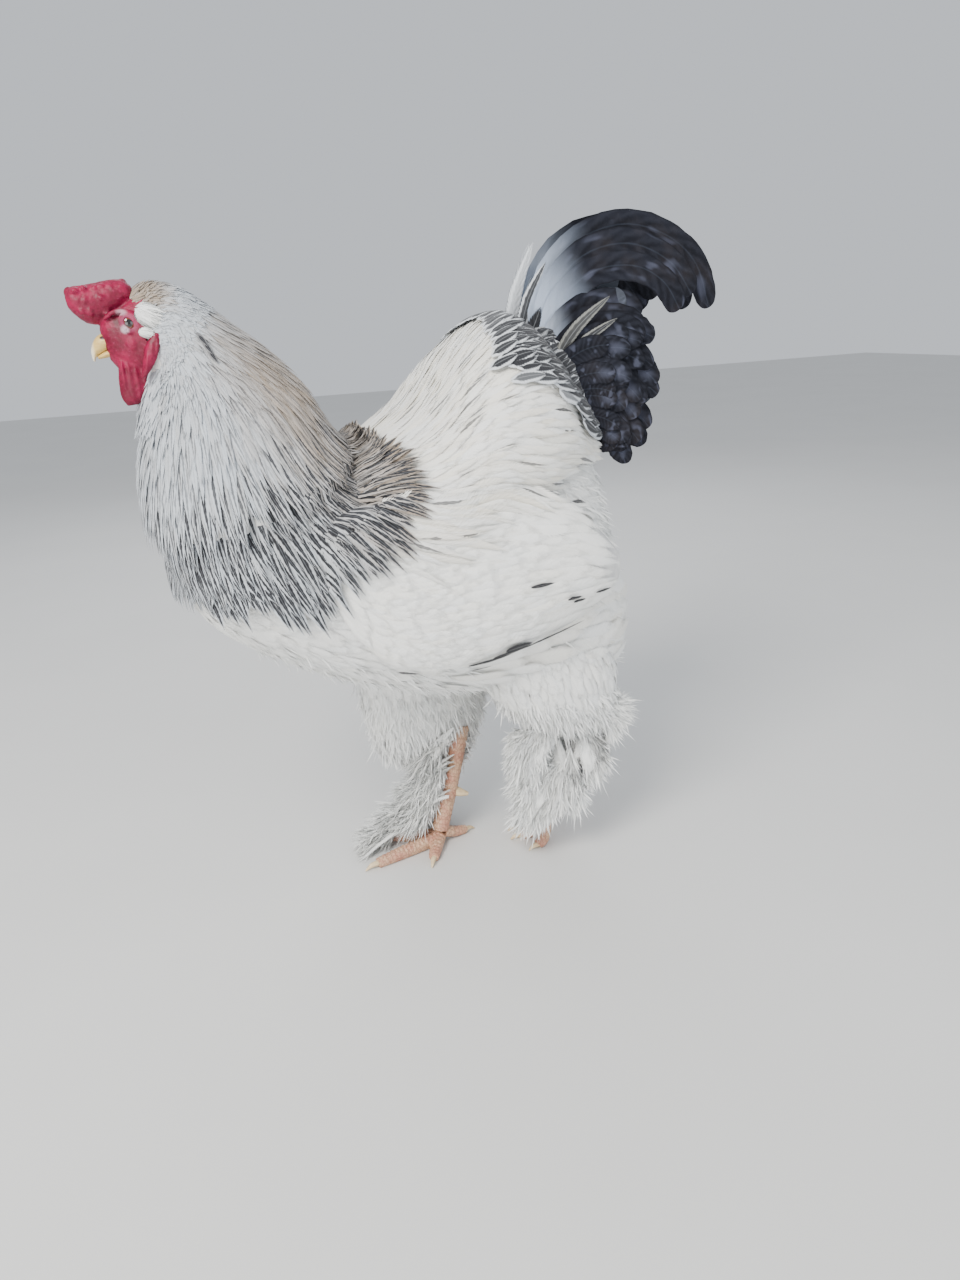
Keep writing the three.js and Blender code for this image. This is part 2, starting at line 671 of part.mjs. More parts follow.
// Vane along a curve through given points, one face turned the way given.
function arc({ path, width, outline = SICKLE, face = [1, 0, 0] }) {
  const curve = new THREE.CatmullRomCurve3(path.map((p) => new THREE.Vector3(...p)), false, 'centripetal');
  return outline.map((share, i) => {
    const u = i / (outline.length - 1);
    const along = curve.getTangentAt(u);
    const across = along.clone().cross(new THREE.Vector3(...face)).normalize();
    const normal = across.clone().cross(along).normalize();
    const centre = curve.getPointAt(u);
    const points = [-0.5, 0.5].map((side) => centre.clone().addScaledVector(across, side * width * share));
    return { points, normal, thick: lerp(1.2, TIP_THICK, u) };
  });
}

function tailVanes() {
  const rootY = (z) => TAIL_ROOT.y + (z - TAIL_ROOT.z) * TAIL_ROOT.slope;
  return sides.flatMap(([, side]) => {
    const fan = TAIL_TIERS.flatMap(({ feathers, x, z, rise, droop, length, drift, width }, tier) =>
      Array.from({ length: feathers }, (_, k) => {
        const u = k / (feathers - 1);
        const low = lerp(...z, u);
        return plume({
          root: [lerp(...x, u), rootY(low) + 8, low],
          rise: lerp(...rise, u) + vary() * 2,
          droop: droop * (1 + vary() * 0.06),
          length: lerp(...length, u) * (1 + vary() * 0.05) + 8,
          drift: lerp(...drift, u),
          width: width * (1 + vary() * 0.06),
          outline: tier ? PADDLE : BLADE,
        });
      }));
    const vanes = [...fan, ...SICKLES.map(arc)];
    return side > 0 ? vanes : vanes.map(mirrored);
  });
}

// Folded wing of the left side: coverts, then secondaries, with the primaries under them.
const WING_TIERS = [
  { t: 0.14, span: 0.36, vanes: 3, over: [1.0, 2.15] },
  { t: 0.36, span: 0.36, vanes: 4, over: [0.9, 2.3] },
  { t: 0.56, span: 0.43, vanes: 4, over: [0.9, 2.35] },
];

const wingVanes = () => clad(surface(WING, { x: WING_CENTRE }), WING_TIERS, {
  depth: () => WING_DEPTH, outline: BLADE,
});

const wingCore = (side, clear) =>
  hoops(WING, { count: 7, sides: 12, x: side * WING_CENTRE, clear, grow: -WING_DEPTH });

// Thighs, from the belly down to the hock, front line to rear line.
const THIGH = {
  left: {
    x: 50,
    shape: [
      { from: [0, 250], to: [150, 250], half: 40 },
      { from: [22, 205], to: [166, 200], half: 42 },
      { from: [46, 172], to: [176, 168], half: 36 },
      { from: [74, 150], to: [186, 146], half: 28 },
      { from: [104, 132], to: [194, 128], half: 16 },
      { from: [128, 124], to: [180, 122], half: 6 },
    ],
  },
  right: {
    x: -46,
    shape: [
      { from: [-82, 250], to: [70, 250], half: 40 },
      { from: [-74, 205], to: [70, 200], half: 42 },
      { from: [-66, 165], to: [66, 160], half: 36 },
      { from: [-60, 130], to: [58, 126], half: 28 },
      { from: [-50, 103], to: [46, 100], half: 18 },
      { from: [-26, 90], to: [24, 88], half: 8 },
    ],
  },
};

const thighForm = (name, grow) =>
  hoops(THIGH[name].shape, { count: 5, sides: 11, x: THIGH[name].x, clear: grow });

// Stiff hock feathers behind each thigh, from the top one down.
const HOCK_PLUMES = {
  left: { feathers: 3, x: [40, 62], y: [148, 152], z: [172, 142], rise: [-18, -48], length: [62, 54] },
  right: { feathers: 3, x: [-58, -36], y: [26, 20], z: [132, 104], rise: [-24, -58], length: [56, 46] },
};

function hockVanes(name) {
  const { feathers, x, y, z, rise, length } = HOCK_PLUMES[name];
  return Array.from({ length: feathers }, (_, k) => {
    const u = k / (feathers - 1);
    return plume({
      root: [lerp(...x, u), lerp(...y, u), lerp(...z, u)],
      rise: lerp(...rise, u),
      droop: 14 + vary() * 5,
      length: lerp(...length, u),
      drift: 0,
      width: 17,
      outline: BLADE,
    });
  });
}

// Shanks: hock, middle and ankle.
const SHANK = {
  left: { path: [[42, 152, 140], [28, 128, 102], [14, 102, 64]], radii: [10, 7.6, 8.6] },
  right: { path: [[-32, 32, 124], [-26, 18, 70], [-22, 0, 16]], radii: [10, 7.6, 8.6] },
};

const shankForm = (name, grow) =>
  limb(SHANK[name].path, SHANK[name].radii, { count: 5, sides: 9, grow });

// Scutes down the front of the shank, each with its lower edge standing proud.
const SHANK_SCUTES = { from: 0.3, count: 4, long: 0.13, step: 0.015, proud: 1.2 };
function scutedShank(name) {
  const { from, count, long, step, proud } = SHANK_SCUTES;
  const edges = Array.from({ length: count }, (_, k) => [
    [from + (k + 1) * long - step, proud], [from + (k + 1) * long, 0],
  ]).flat();
  const stands = [[0, 0], [from, 0], ...edges, [1, 0]];
  return limb(SHANK[name].path, SHANK[name].radii, { sides: 9, stands });
}

// Toes: from the ankle to where the claw starts, then the claw's tip.
const TOES = {
  right: {
    middle: { path: [[-22, 0, 8], [-16, -26, 5.8], [-10, -50, 5.2], [-5, -72, 4.2]], tip: [-2, -86, 1] },
    inner: { path: [[-20, -2, 8], [-4, -11, 5.4], [10, -18, 4]], tip: [21, -24, 1] },
    outer: { path: [[-24, -2, 8], [-36, -24, 5.4], [-48, -46, 4]], tip: [-54, -58, 1] },
    hind: { path: [[-22, 4, 12], [-26, 18, 6], [-29, 30, 3.6]], tip: [-31, 41, 1] },
  },
  left: {
    middle: { path: [[14, 101, 62], [11, 99, 34], [9, 92, 9], [7, 79, 3.4]], tip: [6, 67, 0.6] },
    inner: { path: [[12, 100, 62], [2, 97, 32], [-6, 91, 9], [-9, 82, 3.2]], tip: [-11, 71, 0.6] },
    outer: { path: [[16, 100, 62], [24, 99, 32], [29, 95, 9], [31, 87, 3.2]], tip: [33, 76, 0.6] },
    hind: { path: [[14, 103, 62], [15, 113, 44], [14, 117, 30]], tip: [13, 115, 19] },
  },
};
const TOE_RADII = {
  middle: [8, 7, 6.4, 5], inner: [7, 6.2, 4.6], outer: [7, 6.2, 4.6], hind: [6, 5.4, 4.2],
};

// Scutes of the toes: raised plates, each with its lower edge standing proud.
const SCUTE = { wide: 8, long: 8.4, thick: 2.4, tilt: 0.1 };
function scute(centre, along, outward, shrink = 1) {
  const across = along.clone().cross(outward).normalize();
  const tilted = outward.clone().applyAxisAngle(across, SCUTE.tilt);
  const frame = new THREE.Matrix4().makeBasis(across, tilted.clone().cross(across).negate(), tilted);
  const plate = new THREE.BoxGeometry(SCUTE.wide * shrink, SCUTE.long * shrink, SCUTE.thick);
  return solid(plate.applyMatrix4(frame.setPosition(centre)));
}

// Scutes along a limb between two shares of its path, on the side that faces outward.
function scutes(path, radii, { from, to, count, outward, shrink }) {
  const curve = new THREE.CatmullRomCurve3(path.map((p) => new THREE.Vector3(...p)), false, 'centripetal');
  return Array.from({ length: count }, (_, k) => {
    const t = lerp(from, to, count > 1 ? k / (count - 1) : 0);
    const along = curve.getTangent(t);
    const facing = new THREE.Vector3(...outward);
    const out = facing.clone().addScaledVector(along, -along.dot(facing));
    const radius = radii[Math.round(t * (radii.length - 1))];
    const centre = curve.getPoint(t).addScaledVector(out.normalize(), radius - 0.5);
    return scute(centre, along, out, shrink);
  });
}

const toeForm = (name, toe, grow) =>
  limb(TOES[name][toe].path, TOE_RADII[toe], { count: 4, sides: 6, grow });

function makeLegs(torso) {
  sides.forEach(([name, side]) => {
    const thigh = fused(thighForm(name, 0), hockVanes(name));
    place(`thigh_${name}`, thigh.subtract(torso).subtract(shankForm(name, GAP)), WHITE);
    let foot = null;
    const claws = [];
    Object.entries(TOES[name]).forEach(([toe, { path, tip }]) => {
      const radii = TOE_RADII[toe];
      const piece = toeForm(name, toe, 0);
      foot = foot ? foot.add(piece) : piece;
      const plates = { from: 0.62, to: 0.62, count: 1, outward: [0, -0.4, 1], shrink: 0.8 };
      if (toe !== 'hind') scutes(path, radii, plates).forEach((plate) => { foot = foot.add(plate); });
      claws.push([toe, clawForm(path[path.length - 1], tip, radii[radii.length - 1] * 0.62)]);
    });
    place(`shank_${name}`, scutedShank(name), SKIN_YELLOW);
    foot = foot.subtract(underFloor).subtract(shankForm(name, GAP));
    claws.forEach(([toe, claw]) => {
      const trimmed = claw(0).subtract(underFloor);
      foot = foot.subtract(claw(GAP));
      place(`claw_${name}_${toe}`, trimmed, CLAW_HORN);
    });
    place(`foot_${name}`, foot, SKIN_YELLOW);
    place(`spur_${name}`, spurForm(name, side), CLAW_HORN);
  });
}

// Claw: a curved cone from inside the toe's end to its tip.
function clawForm(end, tip, radius) {
  const start = end.map((v, i) => v + (end[i] - tip[i]) * 0.15);
  const middle = end.map((v, i) => (v + tip[i]) / 2 + (i === 2 ? radius * 0.5 : 0));
  return (grow) => limb([start, middle, tip], [radius, radius * 0.75, 0.6], { count: 4, sides: 6, grow });
}

// Spur: a short blunt cone on the inner side of the shank.
function spurForm(name, side) {
  const [x, y, z] = SHANK[name].path[1];
  const root = [x - side * 4, y + 6, z - 14];
  const tip = [x - side * 12, y + 18, z - 20];
  return limb([root, tip], [4, 0.8], { count: 2, sides: 7 }).subtract(shankForm(name, GAP));
}

// Foot feathers: a fan from the shank's outer side out over the toes.
const FOOT_FAN = {
  right: [
    { from: [-46, 84], to: [18, 74], half: 10 },
    { from: [-60, 60], to: [28, 52], half: 18 },
    { from: [-78, 40], to: [32, 34], half: 22 },
    { from: [-78, 24], to: [26, 22], half: 20 },
  ],
  left: [
    { from: [62, 138], to: [148, 126], half: 10 },
    { from: [56, 100], to: [152, 90], half: 16 },
    { from: [58, 62], to: [148, 58], half: 16 },
    { from: [66, 34], to: [122, 38], half: 10 },
  ],
};
const FOOT_FAN_X = { right: -52, left: 48 };

const FOOT_DEPTH = 6;
const FLOOR_CLEARANCE = 1;

// Sprays of foot feathers: each fans out from one root place to tips along a curve.
const FOOT_SPRAYS = {
  right: [
    { root: [-46, -6, 27], tips: [[-26, -92, 3.5], [-44, -101, 3], [-78, -72, 3], [-99, -24, 5]], vanes: 4 },
    { root: [-44, 8, 40], tips: [[-34, -74, 26], [-74, -46, 22], [-92, -2, 26], [-82, 30, 28]], vanes: 4 },
    { root: [-42, 26, 62], tips: [[-46, -36, 54], [-74, -10, 54], [-74, 28, 56]], vanes: 3 },
  ],
  left: [
    {
      root: [48, 104, 62],
      tips: [[46, 56, 40], [50, 66, 16], [56, 92, 20], [60, 122, 36], [52, 152, 58]],
      vanes: 4,
    },
    { root: [54, 112, 96], tips: [[54, 52, 84], [64, 72, 58], [68, 104, 54], [60, 158, 84]], vanes: 4 },
    { root: [54, 128, 124], tips: [[56, 54, 116], [68, 100, 92], [62, 162, 106]], vanes: 3 },
  ],
};
const SPRAY = { width: 26, bow: 8, face: { left: [1, 0, 0], right: [-0.5, -0.3, 1] } };

function sprayVanes(name) {
  const face = SPRAY.face[name];
  return FOOT_SPRAYS[name].flatMap(({ root, tips, vanes }) => {
    const rim = new THREE.CatmullRomCurve3(tips.map((p) => new THREE.Vector3(...p)), false, 'centripetal');
    return Array.from({ length: vanes }, (_, k) => {
      const tip = rim.getPointAt(k / (vanes - 1));
      const bend = tip.clone().add(new THREE.Vector3(...root)).multiplyScalar(0.5);
      bend.addScaledVector(new THREE.Vector3(...face).normalize(), SPRAY.bow + vary() * 2);
      const path = [root, bend.toArray(), tip.toArray()];
      return arc({ path, width: SPRAY.width, outline: BLADE, face });
    });
  });
}

function makeFootFeathers(torso) {
  const floor = box([-200, -200, -10], [200, 200, FLOOR_CLEARANCE]);
  sides.forEach(([name]) => {
    const x = FOOT_FAN_X[name];
    const core = hoops(FOOT_FAN[name], { count: 4, sides: 9, x, grow: -FOOT_DEPTH });
    let fan = fused(core, sprayVanes(name));
    fan = fan.subtract(shankForm(name, GAP)).subtract(thighForm(name, GAP)).subtract(torso);
    Object.entries(TOES[name]).forEach(([toe, { path, tip }]) => {
      const radii = TOE_RADII[toe];
      fan = fan.subtract(toeForm(name, toe, GAP));
      fan = fan.subtract(clawForm(path[path.length - 1], tip, radii[radii.length - 1] * 0.62)(GAP));
    });
    place(`foot_feathers_${name}`, fan.subtract(floor), WHITE);
  });
}

function makePart() {
  makeHead();
  const head = faceForm(GAP).add(headForm(GAP));
  const core = neckCore(GAP);
  makeComb(head);
  const beak = makeBeak(head);

  // The feathered nodes from the top down: each lies over the next and cuts it clear.
  const saddleEnvelope = hoops(SADDLE, { count: 10, sides: 22 });
  const wingEnvelopes = sides
    .map(([, side]) => hoops(WING, { count: 11, sides: 16, x: side * WING_CENTRE }));
  const cape = capeVanes(coverOver([torsoForm(0), saddleEnvelope, ...wingEnvelopes], 1, 12));

  const belly = torsoForm(GAP);
  place('neck', fused(neckCore(0), cape, { trim: belly }).subtract(head), HACKLE);
  const neck = fused(core, cape, { clear: GAP });
  makeFace(head, neck, beak);

  const back = saddleVanes(coverOver([torsoForm(0), ...wingEnvelopes], 1));
  const saddle = fused(saddleCore(0).subtract(belly), back, { trim: belly });
  place('saddle', saddle.subtract(neck), WHITE);
  const topLine = neck.add(fused(saddleCore(GAP), back, { clear: GAP }));

  const plumes = tailVanes();
  const stump = (clear) => hoops(STUMP, { count: 4, sides: 12, clear });
  place('tail', fused(stump(0), plumes, { trim: belly }).subtract(topLine), SLATE);

  let cores = core.add(saddleCore(GAP)).add(stump(GAP));
  sides.forEach(([name, side]) => {
    const own = wingVanes();
    const vanes = side > 0 ? own : own.map(mirrored);
    const wing = fused(wingCore(side, 0).subtract(belly), vanes, { trim: belly });
    place(`wing_${name}`, wing.subtract(topLine), WHITE);
  });
  place('torso', torsoForm(0).subtract(cores), WHITE);
  const above = topLine.add(fused(stump(GAP), plumes, { clear: GAP }));
  const upper = belly.add(above);
  makeLegs(upper);
  makeFootFeathers(upper);
}

makePart();

// Origin to the middle of the footprint box.
const extent = new THREE.Box3().setFromObject(part);
const middle = extent.getCenter(new THREE.Vector3());
part.position.set(-middle.x, -middle.y, -extent.min.z);
part.updateMatrixWorld(true);

export default part;
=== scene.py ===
import math
import bmesh
import bpy
import numpy as np
from mathutils import Matrix, Vector, noise
from mathutils.bvhtree import BVHTree


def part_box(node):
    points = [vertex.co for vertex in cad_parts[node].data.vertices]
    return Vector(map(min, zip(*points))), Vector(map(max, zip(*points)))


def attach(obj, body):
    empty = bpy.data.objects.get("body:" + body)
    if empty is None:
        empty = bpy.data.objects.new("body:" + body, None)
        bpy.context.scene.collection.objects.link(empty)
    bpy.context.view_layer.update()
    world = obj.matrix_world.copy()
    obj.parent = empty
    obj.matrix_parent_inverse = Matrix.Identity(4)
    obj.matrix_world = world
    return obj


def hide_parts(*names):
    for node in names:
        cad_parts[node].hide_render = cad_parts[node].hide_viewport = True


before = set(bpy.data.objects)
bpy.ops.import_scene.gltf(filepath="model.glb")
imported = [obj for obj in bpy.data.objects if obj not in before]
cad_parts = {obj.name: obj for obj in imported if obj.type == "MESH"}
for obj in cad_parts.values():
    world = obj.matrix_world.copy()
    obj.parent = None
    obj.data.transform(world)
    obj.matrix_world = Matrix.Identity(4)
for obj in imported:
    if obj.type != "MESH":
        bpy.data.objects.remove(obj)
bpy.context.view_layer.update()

# A walking brahma cock, feather by feather. Sizes are millimetres in the bird's own frame: it
# heads -Y, its left side is at +X and the floor is at z = 0. The left eye ties that frame to
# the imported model's.
EYE = (12.4, -222.0, 524.0)
EYE_RADIUS = 6.6
EYE_BOX = np.array(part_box("eye_left"))
SHIFT = EYE_BOX.mean(axis=0) - np.array(EYE) / 1000
SHIFT[2] = 0.0
SIDES = (("left", 1), ("right", -1))
TURN = 2 * math.pi
# Fewest millimetres that a form's whole length counts for, so that no feather runs off its end.
SLOWEST = 60.0
# Nothing of the coat or the legs lies lower than this.
LOWEST = 0.6
LOWEST_LIMB = 0.3
# Each feather's own patch in the unwrap, and where the patches begin and how far they spread.
PATCH, PATCH_EDGE, PATCH_SPREAD = 0.003, 0.002, 0.993
draw = np.random.default_rng(11)


def metres(points):
    return np.asarray(points, float) / 1000 + SHIFT


# Forms: rows of upper y, upper z, lower y, lower z and half width. A sag and a fullness may follow.
FACE = [
    (-243, 520, -239, 499, 6), (-240, 530, -235, 493, 11),
    (-231, 536, -228, 487, 15), (-220, 542, -221, 483, 17.5),
    (-208, 549, -215, 481, 20.5),
]
CROWN = [
    (-219, 548, -219, 483, 18), (-208, 551.5, -215, 481, 21),
    (-198, 552.5, -213, 479, 24.5), (-182, 549, -211, 477, 29),
    (-166, 538, -215, 471, 33, 1, 1),
]
# Short feathers under the chin, from the lobes down to the breast. Upper points lie in front.
THROAT = [
    (-205, 513, -184, 511, 18), (-214, 494, -188, 494, 21.5),
    (-223, 473, -192, 474, 25), (-229, 450, -196, 452, 32),
]
NECK = [
    (-211, 477, -182, 549, 29), (-218, 464, -149, 524, 39, 2, 1),
    (-228, 444, -118, 498, 56, 4, 1.05), (-235, 414, -94, 470, 76, 8, 1.15),
    (-238, 380, -74, 434, 96, 14, 1.3), (-234, 345, -54, 420, 112, 26, 1.4),
]
CAPE_HEM = (-216, 306, -18, 440, 117, 76, 1.3)
CAPE_REACH = (0.95, 0.94, 0.91, 0.91, 0.91, 0.9, 0.97, 0.95, 1.0, 1.03, 0.95, 0.88, 0.84)
NECK_ROOT = (-224, 350, -66, 412, 96, 20, 1.3)
TORSO = [
    (-219, 340, -217, 312, 20), (-208, 372, -205, 290, 56, 0, 1.1),
    (-184, 388, -184, 270, 82, 0, 1.1), (-146, 396, -148, 246, 95, 0, 1.1),
    (-102, 400, -106, 222, 102, 0, 1.1), (-55, 402, -58, 203, 108, 0, 1.1),
    (0, 424, -5, 188, 114, 0, 1.1), (50, 452, 50, 178, 112, 0, 1.1),
    (92, 462, 105, 166, 101, 0, 1.1), (128, 442, 146, 162, 82, 0, 1.1),
    (150, 395, 172, 174, 60, 0, 1.05), (164, 335, 186, 205, 36),
    (170, 290, 189, 230, 16),
]
SADDLE = [
    (-72, 420, -60, 330, 86), (-48, 429, -40, 320, 102, 0, 1.1),
    (-12, 450, -5, 320, 114, 0, 1.15), (25, 487, 35, 330, 119, 0, 1.15),
    (58, 511, 86, 330, 114, 0, 1.1), (80, 513, 124, 344, 100),
    (93, 500, 148, 352, 80),
]
STUMP = [
    (94, 501, 140, 372, 60), (110, 506, 156, 386, 50),
    (126, 500, 164, 400, 36), (140, 484, 164, 424, 14),
]
WING = [
    (-108, 362, -110, 312, 4), (-90, 376, -90, 276, 10),
    (-60, 386, -60, 248, 16), (-10, 390, -10, 238, 24),
    (40, 388, 40, 246, 28), (85, 376, 85, 260, 27),
    (118, 352, 118, 274, 20), (142, 325, 142, 290, 9),
]
WING_CENTRE = 103
THIGH = {
    "left": (50, [
        (0, 250, 150, 250, 40), (22, 205, 164, 200, 42),
        (44, 174, 166, 172, 36), (70, 153, 168, 152, 28),
        (96, 138, 166, 140, 16), (116, 130, 156, 132, 6),
    ]),
    "right": (-46, [
        (-82, 250, 70, 250, 40), (-74, 205, 70, 200, 42),
        (-66, 165, 66, 160, 36), (-60, 130, 58, 126, 28),
        (-50, 103, 46, 100, 18), (-26, 90, 24, 88, 8),
    ]),
}
COMB = [
    (-263, 546, -262, 537, 5), (-258.5, 551, -258, 531.5, 9),
    (-250, 552, -250, 525, 10.5), (-240, 553.5, -241, 524.5, 11),
    (-230, 555, -229, 531, 11), (-221, 554.5, -219, 538, 9.5),
    (-216, 550, -216, 543, 5),
]
# Rows of the comb's beads: side, first and last place, how many and their radii.
COMB_BEADS = [
    (0, (-259, 547), (-222, 553), 7, (4.6, 4.4, 3.6)),
    (6.0, (-255, 548), (-223, 549.5), 6, (3.8, 3.8, 3.6)),
    (8.2, (-254, 541), (-226, 543), 6, (2.9, 3.5, 3.7)),
    (7.8, (-253, 533.5), (-236, 531.5), 4, (3.1, 3.3, 3.7)),
]
BEAK_UPPER = [
    (-234, 520, -230, 506, 8.4), (-243, 517.5, -239, 505.4, 7.8),
    (-247.8, 514, -244.5, 503.4, 6.2), (-251.6, 506.5, -248.6, 500.8, 4),
    (-251.4, 498.2, -250, 497.6, 1.2),
]
BEAK_LOWER = [
    (-229, 507, -228, 500.4, 7.2), (-238, 506.4, -237.5, 500.4, 6.4),
    (-243.5, 504.6, -243, 499.8, 5), (-248.2, 501.8, -247.3, 499.4, 2.4),
]
NOSTRIL = (6.8, -242.0, 514.6)
BEAK_TIP = (0, -252.0, 498.0)
WATTLE = [
    (-236, 508, -212, 500, 3), (-234.5, 495, -212, 490, 4.4),
    (-236, 482, -215, 480, 5), (-236, 471, -218, 471, 4.4),
    (-232.5, 464.5, -224, 465, 2),
]
EAR_LOBE = [
    (-207, 516, -201, 517.5, 2), (-212, 509, -200.5, 510, 4),
    (-215.5, 500, -205.5, 500, 4.6), (-218, 491, -211, 491, 3.6),
    (-220, 484.5, -216, 485, 1.8),
]
# Front edge of the head's feathers: heights and the foremost y at each.
HAIRLINE = ((482, 512, 533, 546), (-208, -207, -214, -222))
# White tufts of the ear: centre, radii, width and trail of their feathers and how many.
EAR_TUFTS = [
    ((20.0, -209.5, 530.0), (3.6, 7.6, 8.0), 2.0, 9, 460),
    ((21.6, -212.0, 517.2), (2.6, 4.8, 3.4), 1.5, 4, 220),
]
BROW = [(10.5, -239, 527.6), (14, -229.5, 532.6), (16.4, -220, 531.2), (18.6, -215.6, 526.4)]
# Pale skin below and above the eye, and painted shade in the crease at its front corner.
PALE_SPOT = (18, -225.4, 519.8)
PALE_BROW = (16, -226, 531.6)
EYE_CORNER_SHADE = (15, -230.4, 525.2)
# Lids: long and short radius of the opening, thickness, distance from the eye's centre.
LIDS = [(5.2, 3.9, 1.25, 7.0), (7.4, 6.2, 0.8, 9.0)]
EYE_TILT = -1.05
# Folds of the hanging skin: y, z and half length.
WATTLE_X = 9
WATTLE_FOLDS = ((-232, 486, 12), (-227.5, 482, 15), (-222.5, 482, 14), (-217, 488, 10))
EAR_X = 22
EAR_FOLDS = ((-213.5, 497, 8), (-209.5, 502, 9), (-205, 506, 7))
# Swellings of the face: centre and radii.
CHEEK = ((14.2, -219, 510), (4.4, 9, 8))
CHIN = ((0, -221, 484), (11, 9, 13))
SHANK = {
    "left": ([(42, 152, 140), (28, 128, 102), (14, 102, 64)], (10, 7.6, 8.6)),
    "right": ([(-32, 32, 124), (-26, 18, 70), (-22, 0, 16)], (10, 7.6, 8.6)),
}
TOES = {
    "right": {
        "middle": ([(-22, 0, 8), (-16, -26, 5.8), (-10, -50, 5.2), (-5, -72, 4.2)], (-2, -86, 1)),
        "inner": ([(-20, -2, 8), (-4, -11, 5.4), (10, -18, 4)], (21, -24, 1)),
        "outer": ([(-24, -2, 8), (-36, -24, 5.4), (-48, -46, 4)], (-54, -58, 1)),
        "hind": ([(-22, 4, 12), (-26, 18, 6), (-29, 30, 3.6)], (-31, 41, 1)),
    },
    "left": {
        "middle": ([(14, 101, 62), (11, 99, 34), (9, 92, 9), (7, 79, 3.4)], (6, 67, 0.6)),
        "inner": ([(12, 100, 62), (2, 97, 32), (-6, 91, 9), (-9, 82, 3.2)], (-11, 71, 0.6)),
        "outer": ([(16, 100, 62), (24, 99, 32), (29, 95, 9), (31, 87, 3.2)], (33, 76, 0.6)),
        "hind": ([(14, 103, 62), (15, 113, 44), (14, 117, 30)], (13, 115, 19)),
    },
}
TOE_RADII = {"middle": (8, 7, 6.4, 5), "inner": (7, 6.2, 4.6), "outer": (7, 6.2, 4.6), "hind": (6, 5.4, 4.2)}


# Forms and the lines that feathers follow on them

def catmull(rows, t):
    """Smooth run through rows at shares t of the way along, straight on past both ends."""
    rows = np.asarray(rows, float)
    inside = np.clip(t, 0, 1)
    u = inside * (len(rows) - 1)
    k = np.minimum(u.astype(int), len(rows) - 2)
    u = (u - k)[..., None]
    a, b, c, d = (rows[np.clip(k + j, 0, len(rows) - 1)] for j in (-1, 0, 1, 2))
    return b + 0.5 * u * (c - a + u * (2 * a - 5 * b + 4 * c - d + u * (3 * (b - c) + d - a)))


def rounded(value, fullness):
    return np.sign(value) * np.abs(value) ** (1 / fullness)


# Sag and fullness of a hoop that states none.
UPRIGHT = (0, 1)


class Form:
    """Body form through hoops, each spanning its upper and lower point and bulging sideways."""

    def __init__(self, rows, x=0.0, grow=0.0):
        self.rows = [(*row, *UPRIGHT[len(row) - 5:]) for row in rows]
        self.x = x
        self.grow = grow

    def inside(self, t, angle):
        upper_y, upper_z, lower_y, lower_z, half, sag, full = np.moveaxis(catmull(self.rows, t), -1, 0)
        c = rounded(np.cos(angle), full)
        s = rounded(np.sin(angle), full)
        reach = np.hypot(upper_y - lower_y, upper_z - lower_z) / 2
        stretch = (reach + self.grow) / np.maximum(reach, 1e-6) / 2
        return np.stack([
            self.x + (half + self.grow) * s,
            (upper_y + lower_y) / 2 + (upper_y - lower_y) * c * stretch,
            (upper_z + lower_z) / 2 + (upper_z - lower_z) * c * stretch - sag * s * s,
        ], -1)

    def at(self, t, angle):
        point = self.inside(t, angle)
        past = np.maximum(t - 1, 0)[..., None]
        if np.any(past > 0):
            end = (self.inside(np.ones_like(t), angle) - self.inside(np.full_like(t, 0.97), angle)) / 0.03
            point = point + end * past
        return point

    def spot(self, t, angle):
        """Point, outward normal and length of form per share of the way along."""
        t, angle = np.broadcast_arrays(np.asarray(t, float), np.asarray(angle, float))
        point = self.at(t, angle)
        along = self.at(t + 0.01, angle) - self.at(np.maximum(t - 0.01, 0), angle)
        along /= (0.01 + np.minimum(t, 0.01))[..., None]
        around = self.at(t, angle + 0.03) - self.at(t, angle - 0.03)
        normal = np.cross(around, along)
        outward = point - self.at(t, angle + math.pi)
        normal *= np.sign((normal * outward).sum(-1, keepdims=True))
        return point, unit(normal), np.linalg.norm(along, axis=-1)

    def places(self, tiers, spacing, t_range, arc=(0, TURN), crowd=1.0):
        """Roots spread over the form in staggered tiers: shares along and angles. Crowd above 1
        brings the first tiers closer together."""
        t_all, angle_all = [], []
        for i in range(tiers):
            t = t_range[0] + (t_range[1] - t_range[0]) * ((i + 0.5) / tiers) ** crowd
            fine = np.linspace(*arc, 241)
            line = self.at(np.full(241, t), fine)
            walked = np.concatenate([[0], np.cumsum(np.linalg.norm(np.diff(line, axis=0), axis=1))])
            gap = spacing(t) if callable(spacing) else spacing
            count = max(3, round(walked[-1] / gap))
            steps = (np.arange(count) + (i % 2) / 2 + draw.uniform(-0.3, 0.3, count)) / count
            angle_all.append(np.interp((steps % 1) * walked[-1], walked, fine))
            step = (t_range[1] - t_range[0]) / tiers
            t_all.append(t + draw.uniform(-0.4, 0.4, count) * step)
        return np.concatenate(t_all), np.concatenate(angle_all)

    def shell(self, count, sides):
        """Points and faces of the form as a closed net."""
        t = np.linspace(0, 1, count)[:, None] * np.ones(sides)
        angle = np.linspace(0, TURN, sides, endpoint=False)[None, :] * np.ones((count, 1))
        points = self.at(t, angle).reshape(-1, 3)
        faces = []
        for r in range(count - 1):
            for k in range(sides):
                a, b = r * sides + k, r * sides + (k + 1) % sides
                faces.append((a, b, b + sides, a + sides))
        faces += [tuple(range(sides)), tuple(reversed(range((count - 1) * sides, count * sides)))]
        return points, faces


def vary(low, high, like):
    """One random value for each row of like."""
    return draw.uniform(low, high, len(like))


def ramp(value):
    return np.clip(value, 0, 1)


def unit(v):
    return v / np.maximum(np.linalg.norm(v, axis=-1, keepdims=True), 1e-9)


